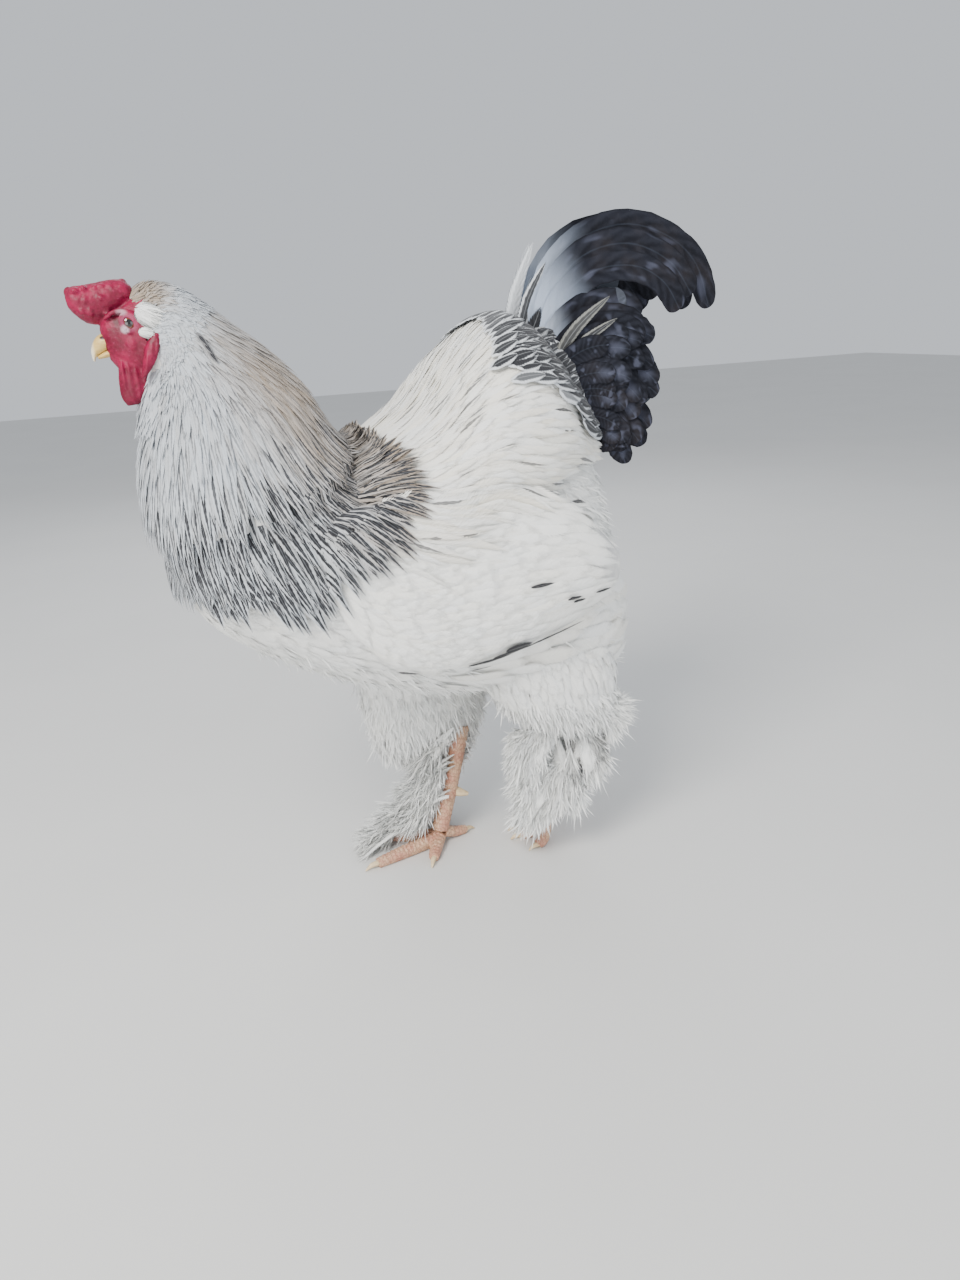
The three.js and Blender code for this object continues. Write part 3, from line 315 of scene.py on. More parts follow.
def shafts(form, t, angle, length, rows=7, turn=0.0, sink=3.0, lift=0.0):
    """Shafts that run down a form: points and normals, one line of rows for each root."""
    u = np.linspace(0, 1, rows)
    here = np.array(t, float)
    points, normals = [], []
    for share in u:
        point, normal, pace = form.spot(here, angle + turn * share)
        height = -sink + (sink + lift) * share ** 0.8
        points.append(point + normal * np.reshape(height, (-1, 1)))
        normals.append(normal)
        here = here + length / (rows - 1) / np.maximum(pace, SLOWEST)
    return np.stack(points, 1), np.stack(normals, 1)


def curve_shafts(paths, face, rows):
    """Shafts along smooth paths, each with one side turned to its facing direction."""
    points = np.stack([catmull(path, close_ended(rows)) for path in paths])
    along = unit(np.gradient(points, axis=1))
    face = np.broadcast_to(np.asarray(face, float)[:, None, :], points.shape)
    normals = unit(face - along * (face * along).sum(-1, keepdims=True))
    return points, normals


def drape(points, normals, tree, rise, cling=0.0):
    """Lifts points along their normals to lie above what the tree holds."""
    above = 60.0
    flat, way = points.reshape(-1, 3), normals.reshape(-1, 3)
    rise = np.broadcast_to(rise, points.shape[:-1]).reshape(-1)
    for i, (point, normal) in enumerate(zip(flat, way)):
        hit = tree.ray_cast(Vector(point + normal * above), Vector(-normal), above * 1.5)
        if hit[3] is not None:
            flat[i] = point + normal * max(-cling, above - hit[3] + rise[i])
    return points


# Outlines: share of the full width from root to tip

LANCE = (0.35, 0.85, 1.0, 1.0, 0.9, 0.7, 0.42, 0.05)
OVAL = (0.35, 0.75, 0.95, 1.0, 1.0, 0.92, 0.7, 0.2)
BLADE = (0.3, 0.7, 0.95, 1.0, 1.0, 0.97, 0.9, 0.74, 0.45, 0.08)
PADDLE = (0.3, 0.68, 0.88, 0.98, 1.0, 1.0, 1.0, 0.97, 0.94)
WISP = (0.7, 1.0, 0.8, 0.1)


def close_ended(rows):
    """Shares along a feather, closer together towards its tip."""
    return 1 - (1 - np.linspace(0, 1, rows)) ** 1.8


class Coat:
    """Feathers of one piece. Each is a grid of rows by columns."""

    def __init__(self):
        self.points, self.faces, self.vane, self.bake, self.marks = [], [], [], [], []
        self.count = 0

    def add(self, shaft, normal, width, outline, columns=5, cup=0.25, roll=0.0, rag=0.0,
            unwrap=None, marks=(0, 0, 0), tip=0.0, crowded=False):
        """Adds feathers along their shafts. A tip above 0 rounds that share of the end. Crowded
        shafts have rows closer together towards their tips."""
        n, m = shaft.shape[:2]
        shares = close_ended(m) if crowded else np.linspace(0, 1, m)
        outline = np.interp(shares, np.linspace(0, 1, len(outline)), outline)
        if tip:
            outline *= np.sqrt(np.clip(1 - (np.maximum(shares - 1 + tip, 0) / tip) ** 2, 0.0004, 1))
        along = unit(np.gradient(shaft, axis=1))
        across = unit(np.cross(along, normal))
        face = unit(np.cross(across, along))
        tilt = np.broadcast_to(np.reshape(roll, (-1, 1, 1)), (n, 1, 1))
        across = unit(across * np.cos(tilt) + face * np.sin(tilt))
        face = unit(np.cross(across, along))
        half = np.reshape(width, (-1, 1)) * outline[None, :] / 2 * np.ones((n, m))
        s = np.linspace(-1, 1, columns)
        spread = half[:, :, None] * s[None, None, :]
        ragged = 1 + rag * draw.uniform(-1, 1, (n, m, columns)) * (np.abs(s) > 0.99)
        points = (shaft[:, :, None, :]
                  + across[:, :, None, :] * (spread * ragged)[..., None]
                  - face[:, :, None, :] * (cup * np.abs(spread) * np.abs(s))[..., None])
        grid = np.arange(m * columns).reshape(m, columns)
        quads = np.stack([grid[:-1, :-1], grid[:-1, 1:], grid[1:, 1:], grid[1:, :-1]], -1).reshape(-1, 4)
        start = self.count + np.arange(n)[:, None, None] * m * columns
        self.faces.append((quads[None] + start).reshape(-1, 4))
        self.points.append(points.reshape(-1, 3))
        u = np.broadcast_to(s[None, None, :] / 2 + 0.5, (n, m, columns))
        v = np.broadcast_to(shares[None, :, None], (n, m, columns))
        self.vane.append(np.stack([u, v], -1).reshape(-1, 2))
        root = draw.uniform(0, 1, (n, 2)) if unwrap is None else np.stack(unwrap, -1) % 1
        patch = PATCH_EDGE + root[:, None, None, :] * PATCH_SPREAD + np.stack([u, v], -1) * PATCH
        self.bake.append(patch.reshape(-1, 2))
        mark = np.stack([np.broadcast_to(value, (n,)) for value in (*marks, draw.uniform(0, 1, n))], -1)
        self.marks.append(np.repeat(np.clip(mark, 0, 1), m * columns, axis=0))
        self.count += n * m * columns

    def lay(self, form, t, angle, length, width, outline, rows, turn=0.0, sink=3.0, lift=0.0, **look):
        """Adds feathers that run down a form from their roots."""
        shaft, normal = shafts(form, t, angle, length, rows, turn, sink, lift)
        self.add(shaft, normal, width, outline, **{"unwrap": (angle / TURN, t), **look})

    def write(self, name, material, slot, replaces=()):
        points = metres(np.concatenate(self.points))
        points[:, 2] = np.maximum(points[:, 2], LOWEST / 1000)
        faces = np.concatenate(self.faces)
        corners = faces.reshape(-1)
        mesh = bpy.data.meshes.new(name)
        mesh.vertices.add(len(points))
        mesh.vertices.foreach_set("co", points.reshape(-1))
        mesh.loops.add(len(corners))
        mesh.loops.foreach_set("vertex_index", corners)
        mesh.polygons.add(len(faces))
        mesh.polygons.foreach_set("loop_start", np.arange(len(faces)) * 4)
        mesh.polygons.foreach_set("use_smooth", np.ones(len(faces), bool))
        mesh.update(calc_edges=True)
        for title, values in (("OFBake", self.bake), ("Vane", self.vane)):
            layer = mesh.uv_layers.new(name=title)
            layer.uv.foreach_set("vector", np.concatenate(values)[corners].reshape(-1))
        marks = mesh.attributes.new("marks", "FLOAT_COLOR", "POINT")
        marks.data.foreach_set("color", np.concatenate(self.marks).reshape(-1))
        finish(mesh, name, material, replaces)


def finish(mesh, name, material, replaces=()):
    piece = bpy.data.objects.new(name, mesh)
    bpy.context.scene.collection.objects.link(piece)
    mesh.materials.append(material)
    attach(piece, "root")
    if replaces:
        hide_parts(*replaces)
    return piece


# Shader maths

def arithmetic(operation, reflected=False):
    """Operator of a wire that adds one Math node."""
    def apply(wire, other):
        return wire.math(operation, *((other, wire) if reflected else (wire, other)))
    return apply


class Wire:
    """Socket of a material whose arithmetic adds Math nodes."""

    def __init__(self, maker, socket):
        self.maker = maker
        self.socket = socket

    def math(self, operation, *values):
        return self.maker.node("ShaderNodeMath", {"operation": operation}, values)["Value"]

    __add__ = arithmetic("ADD")
    __radd__ = arithmetic("ADD", reflected=True)
    __sub__ = arithmetic("SUBTRACT")
    __rsub__ = arithmetic("SUBTRACT", reflected=True)
    __mul__ = arithmetic("MULTIPLY")
    __rmul__ = arithmetic("MULTIPLY", reflected=True)
    __pow__ = arithmetic("POWER")

    def absolute(self):
        return self.math("ABSOLUTE", self)

    def sine(self):
        return self.math("SINE", self)

    def between(self, low, high):
        """0 below low, 1 above high, smooth in between. High may be the lower one."""
        flip = high < low
        ends = (high, low) if flip else (low, high)
        step = self.maker.node("ShaderNodeMapRange", {"interpolation_type": "SMOOTHSTEP"},
                               {"Value": self, "From Min": ends[0], "From Max": ends[1]})["Result"]
        return 1 - step if flip else step


class Finish:
    """Material built from a Principled shader."""

    def __init__(self, name, **fixed):
        self.material = bpy.data.materials.new(name)
        self.material.use_nodes = True
        self.tree = self.material.node_tree
        self.shader = self.tree.nodes["Principled BSDF"]
        for key, value in fixed.items():
            self.shader.inputs[key.replace("_", " ")].default_value = value

    def node(self, kind, settings=None, inputs=()):
        made = self.tree.nodes.new(kind)
        for key, value in (settings or {}).items():
            setattr(made, key, value)
        pairs = inputs.items() if isinstance(inputs, dict) else enumerate(inputs)
        for key, value in pairs:
            if isinstance(value, Wire):
                self.tree.links.new(value.socket, made.inputs[key])
            else:
                made.inputs[key].default_value = value
        return {out.name: Wire(self, out) for out in reversed(made.outputs)}

    def blend(self, factor, first, second):
        self.node("ShaderNodeMix", {"data_type": "RGBA"}, {0: factor, 6: first, 7: second})
        return Wire(self, self.tree.nodes[-1].outputs[2])

    def grain(self, scale, detail=3.0, stretch=(1, 1, 1), lift=0.0):
        place = self.node("ShaderNodeTexCoord")["Object"]
        moved = {"Vector": place, "Scale": stretch, "Location": (lift,) * 3}
        place = self.node("ShaderNodeMapping", {}, moved)["Vector"]
        cloud = {"Vector": place, "Scale": scale, "Detail": detail, "Roughness": 0.6}
        return self.node("ShaderNodeTexNoise", {}, cloud)["Fac"]

    def place(self):
        """Object coordinates as three wires."""
        spot = self.node("ShaderNodeTexCoord")["Object"]
        axes = self.node("ShaderNodeSeparateXYZ", {}, {"Vector": spot})
        return axes["X"], axes["Y"], axes["Z"]

    def far(self, centre, stretch=1.0):
        """Distance in millimetres from a line across the bird, seen from its side."""
        _, y, z = self.place()
        centre = metres(centre)
        return (((y - float(centre[1])) ** 2.0 + (z - float(centre[2])) ** 2.0 * stretch) ** 0.5) * 1000

    def use(self, socket, value):
        self.tree.links.new(value.socket, self.shader.inputs[socket])

    def bump(self, height, strength, distance):
        relief = {"Height": height, "Strength": strength, "Distance": distance}
        self.use("Normal", self.node("ShaderNodeBump", {}, relief)["Normal"])


def colour(r, g, b):
    """Linear colour of the given screen values from 0 to 255."""
    screen = np.array([r, g, b]) / 255
    linear = np.where(screen <= 0.04045, screen / 12.92, ((screen + 0.055) / 1.055) ** 2.4)
    return (*linear.tolist(), 1.0)


WHITE = colour(240, 240, 236)
SHADE = colour(204, 209, 216)
CREAM = colour(232, 220, 192)
TAN = colour(132, 110, 80)
CHARCOAL = colour(20, 20, 25)
ASH = colour(110, 112, 120)


def feather_finish(name, ground, tint, dark, stripe=(0.1, 0.5), start=0.15, spots=None, sheen=0.12,
                   gloss=0.25, shine=0.2, fray=0.8):
    """Feather material. Marks: red is the stripe, green the whole vane's darkness, blue the
    tint and alpha chance. A spotted feather is dark beyond its pale base."""
    made = Finish(name, Roughness=0.72, Sheen_Weight=sheen, Sheen_Roughness=0.6, Specular_IOR_Level=gloss)
    vane = made.node("ShaderNodeUVMap", {"uv_map": "Vane"})["UV"]
    axes = made.node("ShaderNodeSeparateXYZ", {}, {"Vector": vane})
    across = (axes["X"] * 2 - 1).absolute()
    along = axes["Y"]
    marks = made.node("ShaderNodeAttribute", {"attribute_name": "marks"})
    chance = marks["Alpha"]
    parts = made.node("ShaderNodeSeparateColor", {}, {"Color": marks["Color"]})
    streak, dusk = parts["Red"], parts["Green"]
    barbs = ((along * 70 - across * 9) + made.grain(160.0, 2.0) * 5).sine()
    wide = (streak * (stripe[1] - stripe[0]) + stripe[0]) * along.between(start, start + 0.3)
    wide = wide * (1.08 - along * 0.45)
    centre = (across - wide - barbs * 0.05).between(0.16, -0.08) * streak.between(0.0, 0.7)
    base = made.blend(parts["Blue"], ground, tint)
    base = made.blend(made.grain(26.0) * 0.3 + chance * 0.15, base, SHADE)
    deep = made.blend(barbs * 0.04 + 0.04, dark, ASH)
    if spots:
        own = made.node("ShaderNodeVectorMath", {"operation": "MULTIPLY_ADD"},
                        {0: vane, 1: (2.6, 8.0, 0), 2: chance * 60})["Vector"]
        soft = {"Vector": own, "Scale": 1.0, "Detail": 1.0, "Roughness": 0.4}
        cloud = made.node("ShaderNodeTexNoise", {}, soft)
        patch = cloud["Fac"].between(0.56, 0.72) * across.between(1.0, 0.6) * 0.7
        tip = along.between(0.58, 0.8) * along.between(0.98, 0.86) * across.between(0.7, 0.1)
        tip = tip * chance.between(0.3, 0.6) * 0.6
        rust = made.grain(30.0, lift=2.0).between(0.45, 0.7) * 0.5
        deep = made.blend(rust, dark, colour(46, 42, 44))
        # Painted highlight: a soft blue-grey lift over the dark vane, off its centre line and short of its
        # tip.
        painted_highlight = across.between(0.2, 0.7) * along.between(0.95, 0.6) * 0.12
        deep = made.blend(painted_highlight, deep, colour(60, 64, 78))
        deep = made.blend(barbs * 0.1 + 0.1, deep, colour(58, 60, 70))
        deep = made.blend(patch, deep, spots)
        deep = made.blend(tip, deep, spots)
        deep = made.blend(across.between(0.86, 0.98) * 0.45, deep, colour(16, 16, 20))
        dusk = dusk * (1 - streak * along.between(0.4, 0.12))
    else:
        base = made.blend(centre, base, deep)
    base = made.blend(dusk, base, deep)
    base = made.blend(across.between(0.08, 0.02) * shine, base, ground)
    made.use("Base Color", base)
    loose = across.between(0.5, 1.0) + along.between(0.75, 1.0)
    fringe = ((along * 150 - across * 24) + made.grain(160.0, 2.0) * 6).sine()
    made.use("Alpha", (loose * fray + fringe * 0.4).between(0.78, 0.66))
    made.bump(barbs * 0.5 + across * 0.4, 0.3, 0.0005)
    return made.material


# Dark feathers of the wing: share along it, angle round it, length and width.
WING_STREAKS = [
    (0.44, 2.66, 40, 4), (0.5, 2.63, 42, 4.6), (0.53, 2.56, 26, 8), (0.6, 2.66, 36, 4),
    (0.67, 2.72, 30, 4), (0.45, 2.93, 20, 4), (0.585, 1.68, 22, 3.4), (0.69, 1.99, 14, 3.4),
    (0.71, 2.06, 12, 3), (0.8, 2.03, 17, 2.6),
]
# Dark feathers that fall from behind the ear: share along the neck and angle round it.
NECK_STREAK = [(0.11, 2.04), (0.14, 2.0), (0.17, 1.96)]


# Coat of the neck

# Where the fan of the cape's rear feathers begins, and the share of the neck past which
# feathers are draped over the body.
CAPE_FAN_FROM = -90
CAPE_DRAPED_FROM = 0.78


def cape_reach(from_throat):
    """How far down the neck the hem hangs, from the throat round to the nape."""
    return np.interp(from_throat, np.linspace(0, math.pi, len(CAPE_REACH)), CAPE_REACH)


def envelope(*forms):
    points, faces, start = [], [], 0
    for form in forms:
        net, around = form.shell(40, 64)
        points.append(net)
        faces += [tuple(k + start for k in face) for face in around]
        start += len(net)
    return BVHTree.FromPolygons(np.concatenate(points).tolist(), faces)


wings = {side: Form(WING, side * WING_CENTRE) for _, side in SIDES}
torso, saddle, neck = Form(TORSO), Form(SADDLE), Form(NECK + [CAPE_HEM])


def make_cape(material):
    t, angle = neck.places(52, lambda t: 2.7 + 3.6 * min(1, t * 1.6), (-0.02, 0.86), crowd=1.3)
    from_throat = np.abs((angle + math.pi) % TURN - math.pi)
    span = (0.11 + 0.15 * ramp(t * 1.6) ** 0.8) * vary(0.8, 1.12, t)
    span = np.maximum(np.minimum(span, cape_reach(from_throat) + vary(-0.05, 0.02, t) - t), 0.04)
    pace = neck.spot(np.clip(t + span / 2, 0, 1), angle)[2]
    turn = vary(-0.03, 0.03, t)
    shaft, normal = shafts(neck, t, angle, span * pace, rows=8, turn=turn, sink=3 + 3 * ramp(t * 2),
                           lift=vary(-2.5, 0.5, t))
    low = t + span > CAPE_DRAPED_FROM
    rise = np.linspace(1.0, 7.0, 8)[None, :] + draw.uniform(-1, 1, (low.sum(), 1))
    shaft[low] = drape(shaft[low], normal[low], envelope(torso, saddle, *wings.values()), rise, cling=9)
    width = (3.2 + 6.6 * ramp(t * 1.25)) * vary(0.85, 1.15, t)
    band = ramp((t + span * 0.6 - 0.5) / 0.3)
    fan = ramp((shaft[:, 3, 1] - CAPE_FAN_FROM) / 50)
    back = ramp((from_throat - 1.5) / 0.8)
    stripe = ramp(0.3 + 0.75 * np.maximum(band, fan) + vary(-0.2, 0.2, t)) * ramp((t + 0.06) / 0.2)
    straw = 0.1 + 0.9 * back * ramp(t * 3.0 + 0.3) * (1 - 0.5 * band) + 0.6 * fan
    straw = ramp(straw + vary(-0.14, 0.14, t))
    coat = Coat()
    upper = t < 0.3
    for some, columns, roll in ((upper, 3, 0.08), (~upper, 5, 0.14)):
        coat.add(shaft[some], normal[some], width[some], LANCE, columns=columns, cup=0.3, rag=0.1,
                 roll=vary(-roll, roll, t[some]), unwrap=(angle[some] / TURN, t[some]),
                 marks=(stripe[some], 0, straw[some]))
    for t, angle in np.array(NECK_STREAK)[:, :, None]:
        coat.lay(neck, t, angle, 13.0, 4.4, LANCE, 7, turn=-0.06, sink=0, lift=1.0, columns=3,
                 marks=(1, 0.6, 0.4))
    coat.write("cape_feathers", material, "hackle_feather")


def make_head_feathers(material):
    coat = Coat()
    crown = Form(CROWN)
    t, angle = crown.places(30, 2.1, (-0.02, 1.02))
    y, z = crown.spot(t, angle)[0][:, 1:].T
    grown = y > np.interp(z, *HAIRLINE)
    t, angle, y, z = (values[grown] for values in (t, angle, y, z))
    near_comb = ramp((-196 - y) / 14) * ramp((z - 536) / 10)
    tan = ramp((-194 - y) / 14) * ramp((z - 530) / 8)
    coat.lay(crown, t, angle, vary(11, 17, t), outline=LANCE, rows=6, sink=2.2, turn=vary(-0.12, 0.12, t),
             lift=vary(-1, 0.5, t) + 1.6 * near_comb, width=vary(2.2, 3.4, t), columns=3, rag=0.15,
             roll=vary(-0.18, 0.18, t), unwrap=(angle / TURN, t * 0.8),
             marks=(vary(0, 0.12, t) * (1 - tan), 0, tan + vary(0, 0.2, t)))
    throat = Form(THROAT)
    t, angle = throat.places(18, 3.0, (-0.06, 0.98), (-2.0, 2.0))
    coat.lay(throat, t, angle, vary(13, 19, t) * (0.7 + 0.5 * ramp(t)), outline=LANCE, rows=6, sink=2.5,
             lift=vary(-1, 1, t), turn=vary(-0.08, 0.08, t), width=vary(3, 4.6, t), columns=3, rag=0.2,
             roll=vary(-0.12, 0.12, t), unwrap=(angle / TURN, ramp(t) * 0.8),
             marks=(vary(0, 0.35, t), 0, vary(0, 0.15, t)))
    coat.write("head_feathers", material, "white_feather")


def make_ear_tufts(material):
    """White tufts whose small feathers wrap backwards over a rounded lump."""
    coat = Coat()
    u = np.linspace(0, 1, 5)[None, :, None]
    for _, side in SIDES:
        for centre, radii, width, trail, count in EAR_TUFTS:
            out = unit(draw.normal(0, 1, (count, 3)) + np.array([side * 0.9, -0.35, 0.1]))
            sweep = np.array([side * 0.1, 0.85, -0.45]) + draw.normal(0, 0.2, (count, 3))
            way = unit(out[:, None] + sweep[:, None] * u)
            flow = np.array([side * 0.25, 0.8, -0.4]) + draw.normal(0, 0.15, (count, 3))
            grown = draw.uniform(0.8, 1.08, (count, 1, 1)) + 0.08 * u
            shaft = np.array([side * centre[0], *centre[1:]]) + way * radii * grown
            shaft = shaft + flow[:, None] * u ** 2 * trail * draw.uniform(0.3, 1, (count, 1, 1))
            coat.add(shaft, way, width * draw.uniform(0.8, 1.2, count), LANCE, columns=3, cup=0.2, rag=0.15,
                     roll=draw.uniform(-0.3, 0.3, count),
                     unwrap=(draw.uniform(0, 1, count), draw.uniform(0.8, 1, count)))
    coat.write("ear_tufts", material, "white_feather", ("ear_cover_left", "ear_cover_right"))


# Coat of the body

def make_body_feathers(material):
    coat = Coat()
    t, angle = torso.places(46, 6.6, (0.02, 0.98))
    y = torso.spot(t, angle)[0][:, 1]
    shown = (y > -225) & ~((np.cos(angle) > 0.55) & (y < 110))
    t, angle = t[shown], angle[shown]
    length, lift, turn = vary(34, 52, t), vary(-1.5, 0.6, t), vary(-0.07, 0.07, t)
    grey = (vary(0, 1, t) < 0.03) * 0.6
    coat.lay(torso, t, angle, length, vary(9, 14, t), OVAL, 8, turn=turn, sink=4, lift=lift, rag=0.12,
             cup=0.2, roll=vary(-0.07, 0.07, t), marks=(grey, 0, vary(0, 0.12, t)))
    for _, side in SIDES:
        t, angle = torso.places(7, 9, (0.46, 0.86), (1.75, 2.5))
        coat.lay(torso, t, side * angle, vary(50, 64, t), outline=PADDLE, rows=10, sink=3,
                 lift=vary(6, 10, t), turn=-side * 0.12, width=vary(15, 20, t), rag=0.08, cup=0.2,
                 roll=vary(-0.08, 0.08, t), tip=0.2, marks=(0, 0, vary(0, 0.3, t)))
    coat.write("body_feathers", material, "white_feather")


def make_saddle(material):
    coat = Coat()
    t, angle = saddle.places(30, 5.8, (0.0, 0.9), (-1.8, 1.8))
    length = vary(46, 74, t) * (1 - 0.3 * ramp(t - 0.4))
    turn = angle * 0.16 + vary(-0.04, 0.04, t)
    shaft, normal = shafts(saddle, t, angle, length, rows=8, sink=5, turn=turn, lift=vary(-2, 1, t))
    shaft = drape(shaft, normal, envelope(torso, *wings.values()), np.linspace(0, 4, 8)[None, :])
    rear = ramp((shaft[:, 3, 1] - 60) / 40) * ramp(np.cos(angle))
    stripe = ramp(rear * vary(0, 1, t) + (vary(0, 1, t) < 0.06) * 0.5)
    straw = vary(0, 0.5, t)
    coat.add(shaft, normal, vary(8, 12, t), LANCE, rag=0.2, roll=vary(-0.14, 0.14, t),
             unwrap=(angle / TURN, t), marks=(stripe, 0, straw))
    coat.write("saddle_feathers", material, "white_feather")


# Share of the wing's small feathers that are dark, besides its placed streaks.
WING_DARK_SHARE = 0


def make_wing(name, side, material):
    wing = wings[side]
    coat = Coat()

    def tier(tiers, spacing, t_range, arc, length, width, outline, rows, lift, turn=0.0, rag=0.15, columns=5):
        t, angle = wing.places(tiers, spacing, t_range, arc)
        length, lift = vary(*length, t), vary(*lift, t)
        black = (vary(0, 1, t) < WING_DARK_SHARE) * vary(0.5, 1, t)
        coat.lay(wing, t, side * angle, length, vary(*width, t), outline, rows, turn=side * turn, sink=3,
                 lift=lift, columns=columns, rag=rag, roll=vary(-0.1, 0.1, t), unwrap=(angle / TURN, t),
                 marks=(black, 0, vary(0, 0.2, t)))

    # Tiers, spacing, then ranges of share, angle, length and width, outline, rows and range of lift.
    tier(3, 13, (0.5, 0.62), (1.75, 2.75), (70, 92), (15, 18), BLADE, 9, (-1.5, 0), turn=-0.1)
    tier(3, 11, (0.44, 0.6), (0.4, 2.2), (66, 96), (12, 17), BLADE, 9, (-0.5, 1))
    tier(12, 6.4, (0.1, 0.5), (0.3, 2.7), (42, 62), (11, 15), OVAL, 8, (-0.5, 1.0), rag=0.12)
    tier(12, 5.6, (-0.02, 0.32), (0.2, 2.8), (30, 46), (8, 12), OVAL, 7, (0, 1.2), rag=0.12)
    tier(5, 10, (0.45, 0.84), (3.3, TURN - 0.2), (24, 34), (10, 14), OVAL, 7, (-2, -0.5), columns=3)
    for share, place, length, width in WING_STREAKS:
        t, angle = np.array([share]), np.array([place])
        coat.lay(wing, t, side * angle, float(length), float(width), LANCE, 9, sink=-1.8, lift=3.0, rag=0.2,
                 unwrap=(angle / TURN, t), marks=(1, 1, 0))
    coat.write(f"wing_feathers_{name}", material, "white_feather")


def wisps(coat, root, way, normal, length, strands, width, spread, curl, unwrap, marks=(0, 0, 0)):
    """Down: a few narrow strands fan out of each root and curl."""
    root, way, normal = (np.repeat(values, strands, axis=0) for values in (root, way, normal))
    length = length * vary(0.7, 1.15, root)
    way = unit(way + draw.normal(0, spread, way.shape))
    bend = draw.normal(0, curl, way.shape) + np.array([0, 0, -curl])
    u = np.linspace(0, 1, 4)[None, :, None]
    shaft = root[:, None] + (way[:, None] * u + bend[:, None] * u * u * 0.5) * length[:, None, None]
    unwrap = tuple(np.repeat(values, strands) for values in unwrap)
    marks = tuple(np.repeat(np.broadcast_to(mark, len(root) // strands), strands) for mark in marks)
    face = np.broadcast_to(normal[:, None], shaft.shape)
    coat.add(shaft, face, vary(0.7, 1.3, root) * width, WISP, columns=2, cup=0, roll=vary(-0.8, 0.8, root),
             unwrap=unwrap, marks=marks)


def fluff(coat, form, places, step, rise, fall, depth, length, strands, width, spread, curl):
    """Down all over a part of a form, combed along it. Its places are tiers, spacing, shares
    along the form and, if not all round it, angles."""
    t, angle = form.places(*places)
    point, normal, _ = form.spot(t, angle)
    ahead = form.spot(t + step, angle)[0] - point
    way = unit(unit(ahead) + normal * rise + np.array(fall))
    wisps(coat, point - normal * depth, way, normal, length, strands, width, spread, curl, (angle / TURN, t))


def make_thigh(name, material):
    x, rows = THIGH[name]
    form = Form(rows, x)
    coat = Coat()
    t, angle = form.places(12, 8, (0.0, 0.5))
    coat.lay(form, t, angle, vary(26, 38, t), outline=OVAL, rows=6, sink=4, lift=vary(-2, 1, t),
             width=vary(8, 12, t), rag=0.4, roll=vary(-0.2, 0.2, t), marks=(0, 0, vary(0, 0.1, t)))
    fluff(coat, form, (26, 5.5, (0.3, 1.0)), step=0.03, rise=0.25, fall=(0, 0.1, -0.15), depth=6,
          length=19, strands=9, width=1.7, spread=0.24, curl=0.35)
    coat.write(f"thigh_fluff_{name}", material, "white_feather")


def make_rear_fluff(material):
    coat = Coat()
    look = {"step": 0.02, "depth": 4, "strands": 8, "spread": 0.2, "curl": 0.3}
    rear, under = (20, 8, (0.6, 1.0)), (26, 8, (0.2, 0.95), (2.2, TURN - 2.2))
    fluff(coat, torso, rear, rise=0.16, fall=(0, 0, -0.12), length=20, width=1.8, **look)
    fluff(coat, torso, under, rise=0.12, fall=(0, 0, 0), length=17, width=1.7, **look)
    coat.write("belly_fluff", material, "white_feather")


# Foot feathers: root of each tier, the rim that its tips reach and how many.
SPRAYS = {
    "right": [
        ((-46, -6, 27), [(-26, -88, 3.5), (-44, -96, 3), (-76, -70, 3), (-97, -24, 5), (-88, 14, 8)], 26),
        ((-44, 8, 40), [(-34, -74, 26), (-70, -50, 22), (-88, -2, 26), (-80, 30, 28)], 26),
        ((-42, 26, 62), [(-38, -48, 50), (-70, -18, 50), (-72, 28, 52)], 22),
        ((-38, 34, 90), [(-34, -34, 76), (-62, 4, 74), (-54, 46, 78)], 22),
        ((-36, 38, 112), [(-30, -24, 92), (-60, 8, 92), (-48, 52, 96)], 18),
        ((-27, 18, 124), [(-18, -10, 86), (-27, -24, 80), (-46, -20, 84)], 30),
        ((-24, 12, 92), [(-15, -14, 52), (-25, -32, 46), (-46, -36, 48)], 30),
        ((-23, 4, 62), [(-15, -24, 24), (-26, -46, 19), (-48, -54, 19)], 30),
    ],
    "left": [
        ((46, 106, 104),
         [(47, 56, 102), (46, 49, 72), (47, 50, 37), (48, 66, 28), (50, 79, 33), (53, 88, 54)], 38),
        ((53, 112, 122), [(52, 86, 60), (60, 99, 53), (60, 114, 48), (60, 119, 62), (60, 114, 86)], 30),
        ((56, 124, 142), [(60, 119, 82), (60, 137, 76), (60, 145, 86), (60, 146, 100), (60, 142, 122)], 24),
        ((58, 138, 160), [(60, 146, 128), (60, 160, 140), (60, 168, 152), (60, 163, 164)], 14),
        ((50, 96, 150), [(50, 54, 142), (49, 47, 118), (49, 50, 96), (52, 70, 84)], 30),
    ],
}
SPRAY_FACE = {"left": (1, 0, 0), "right": (-0.5, -0.3, 1)}
# Tiers of foot feathers darkened along the latter part of their rim: painted shadow on the plumes.
SHADOWED_TIERS = {"left": (1, 2), "right": ()}
WISPS_PER_PLUME = 14


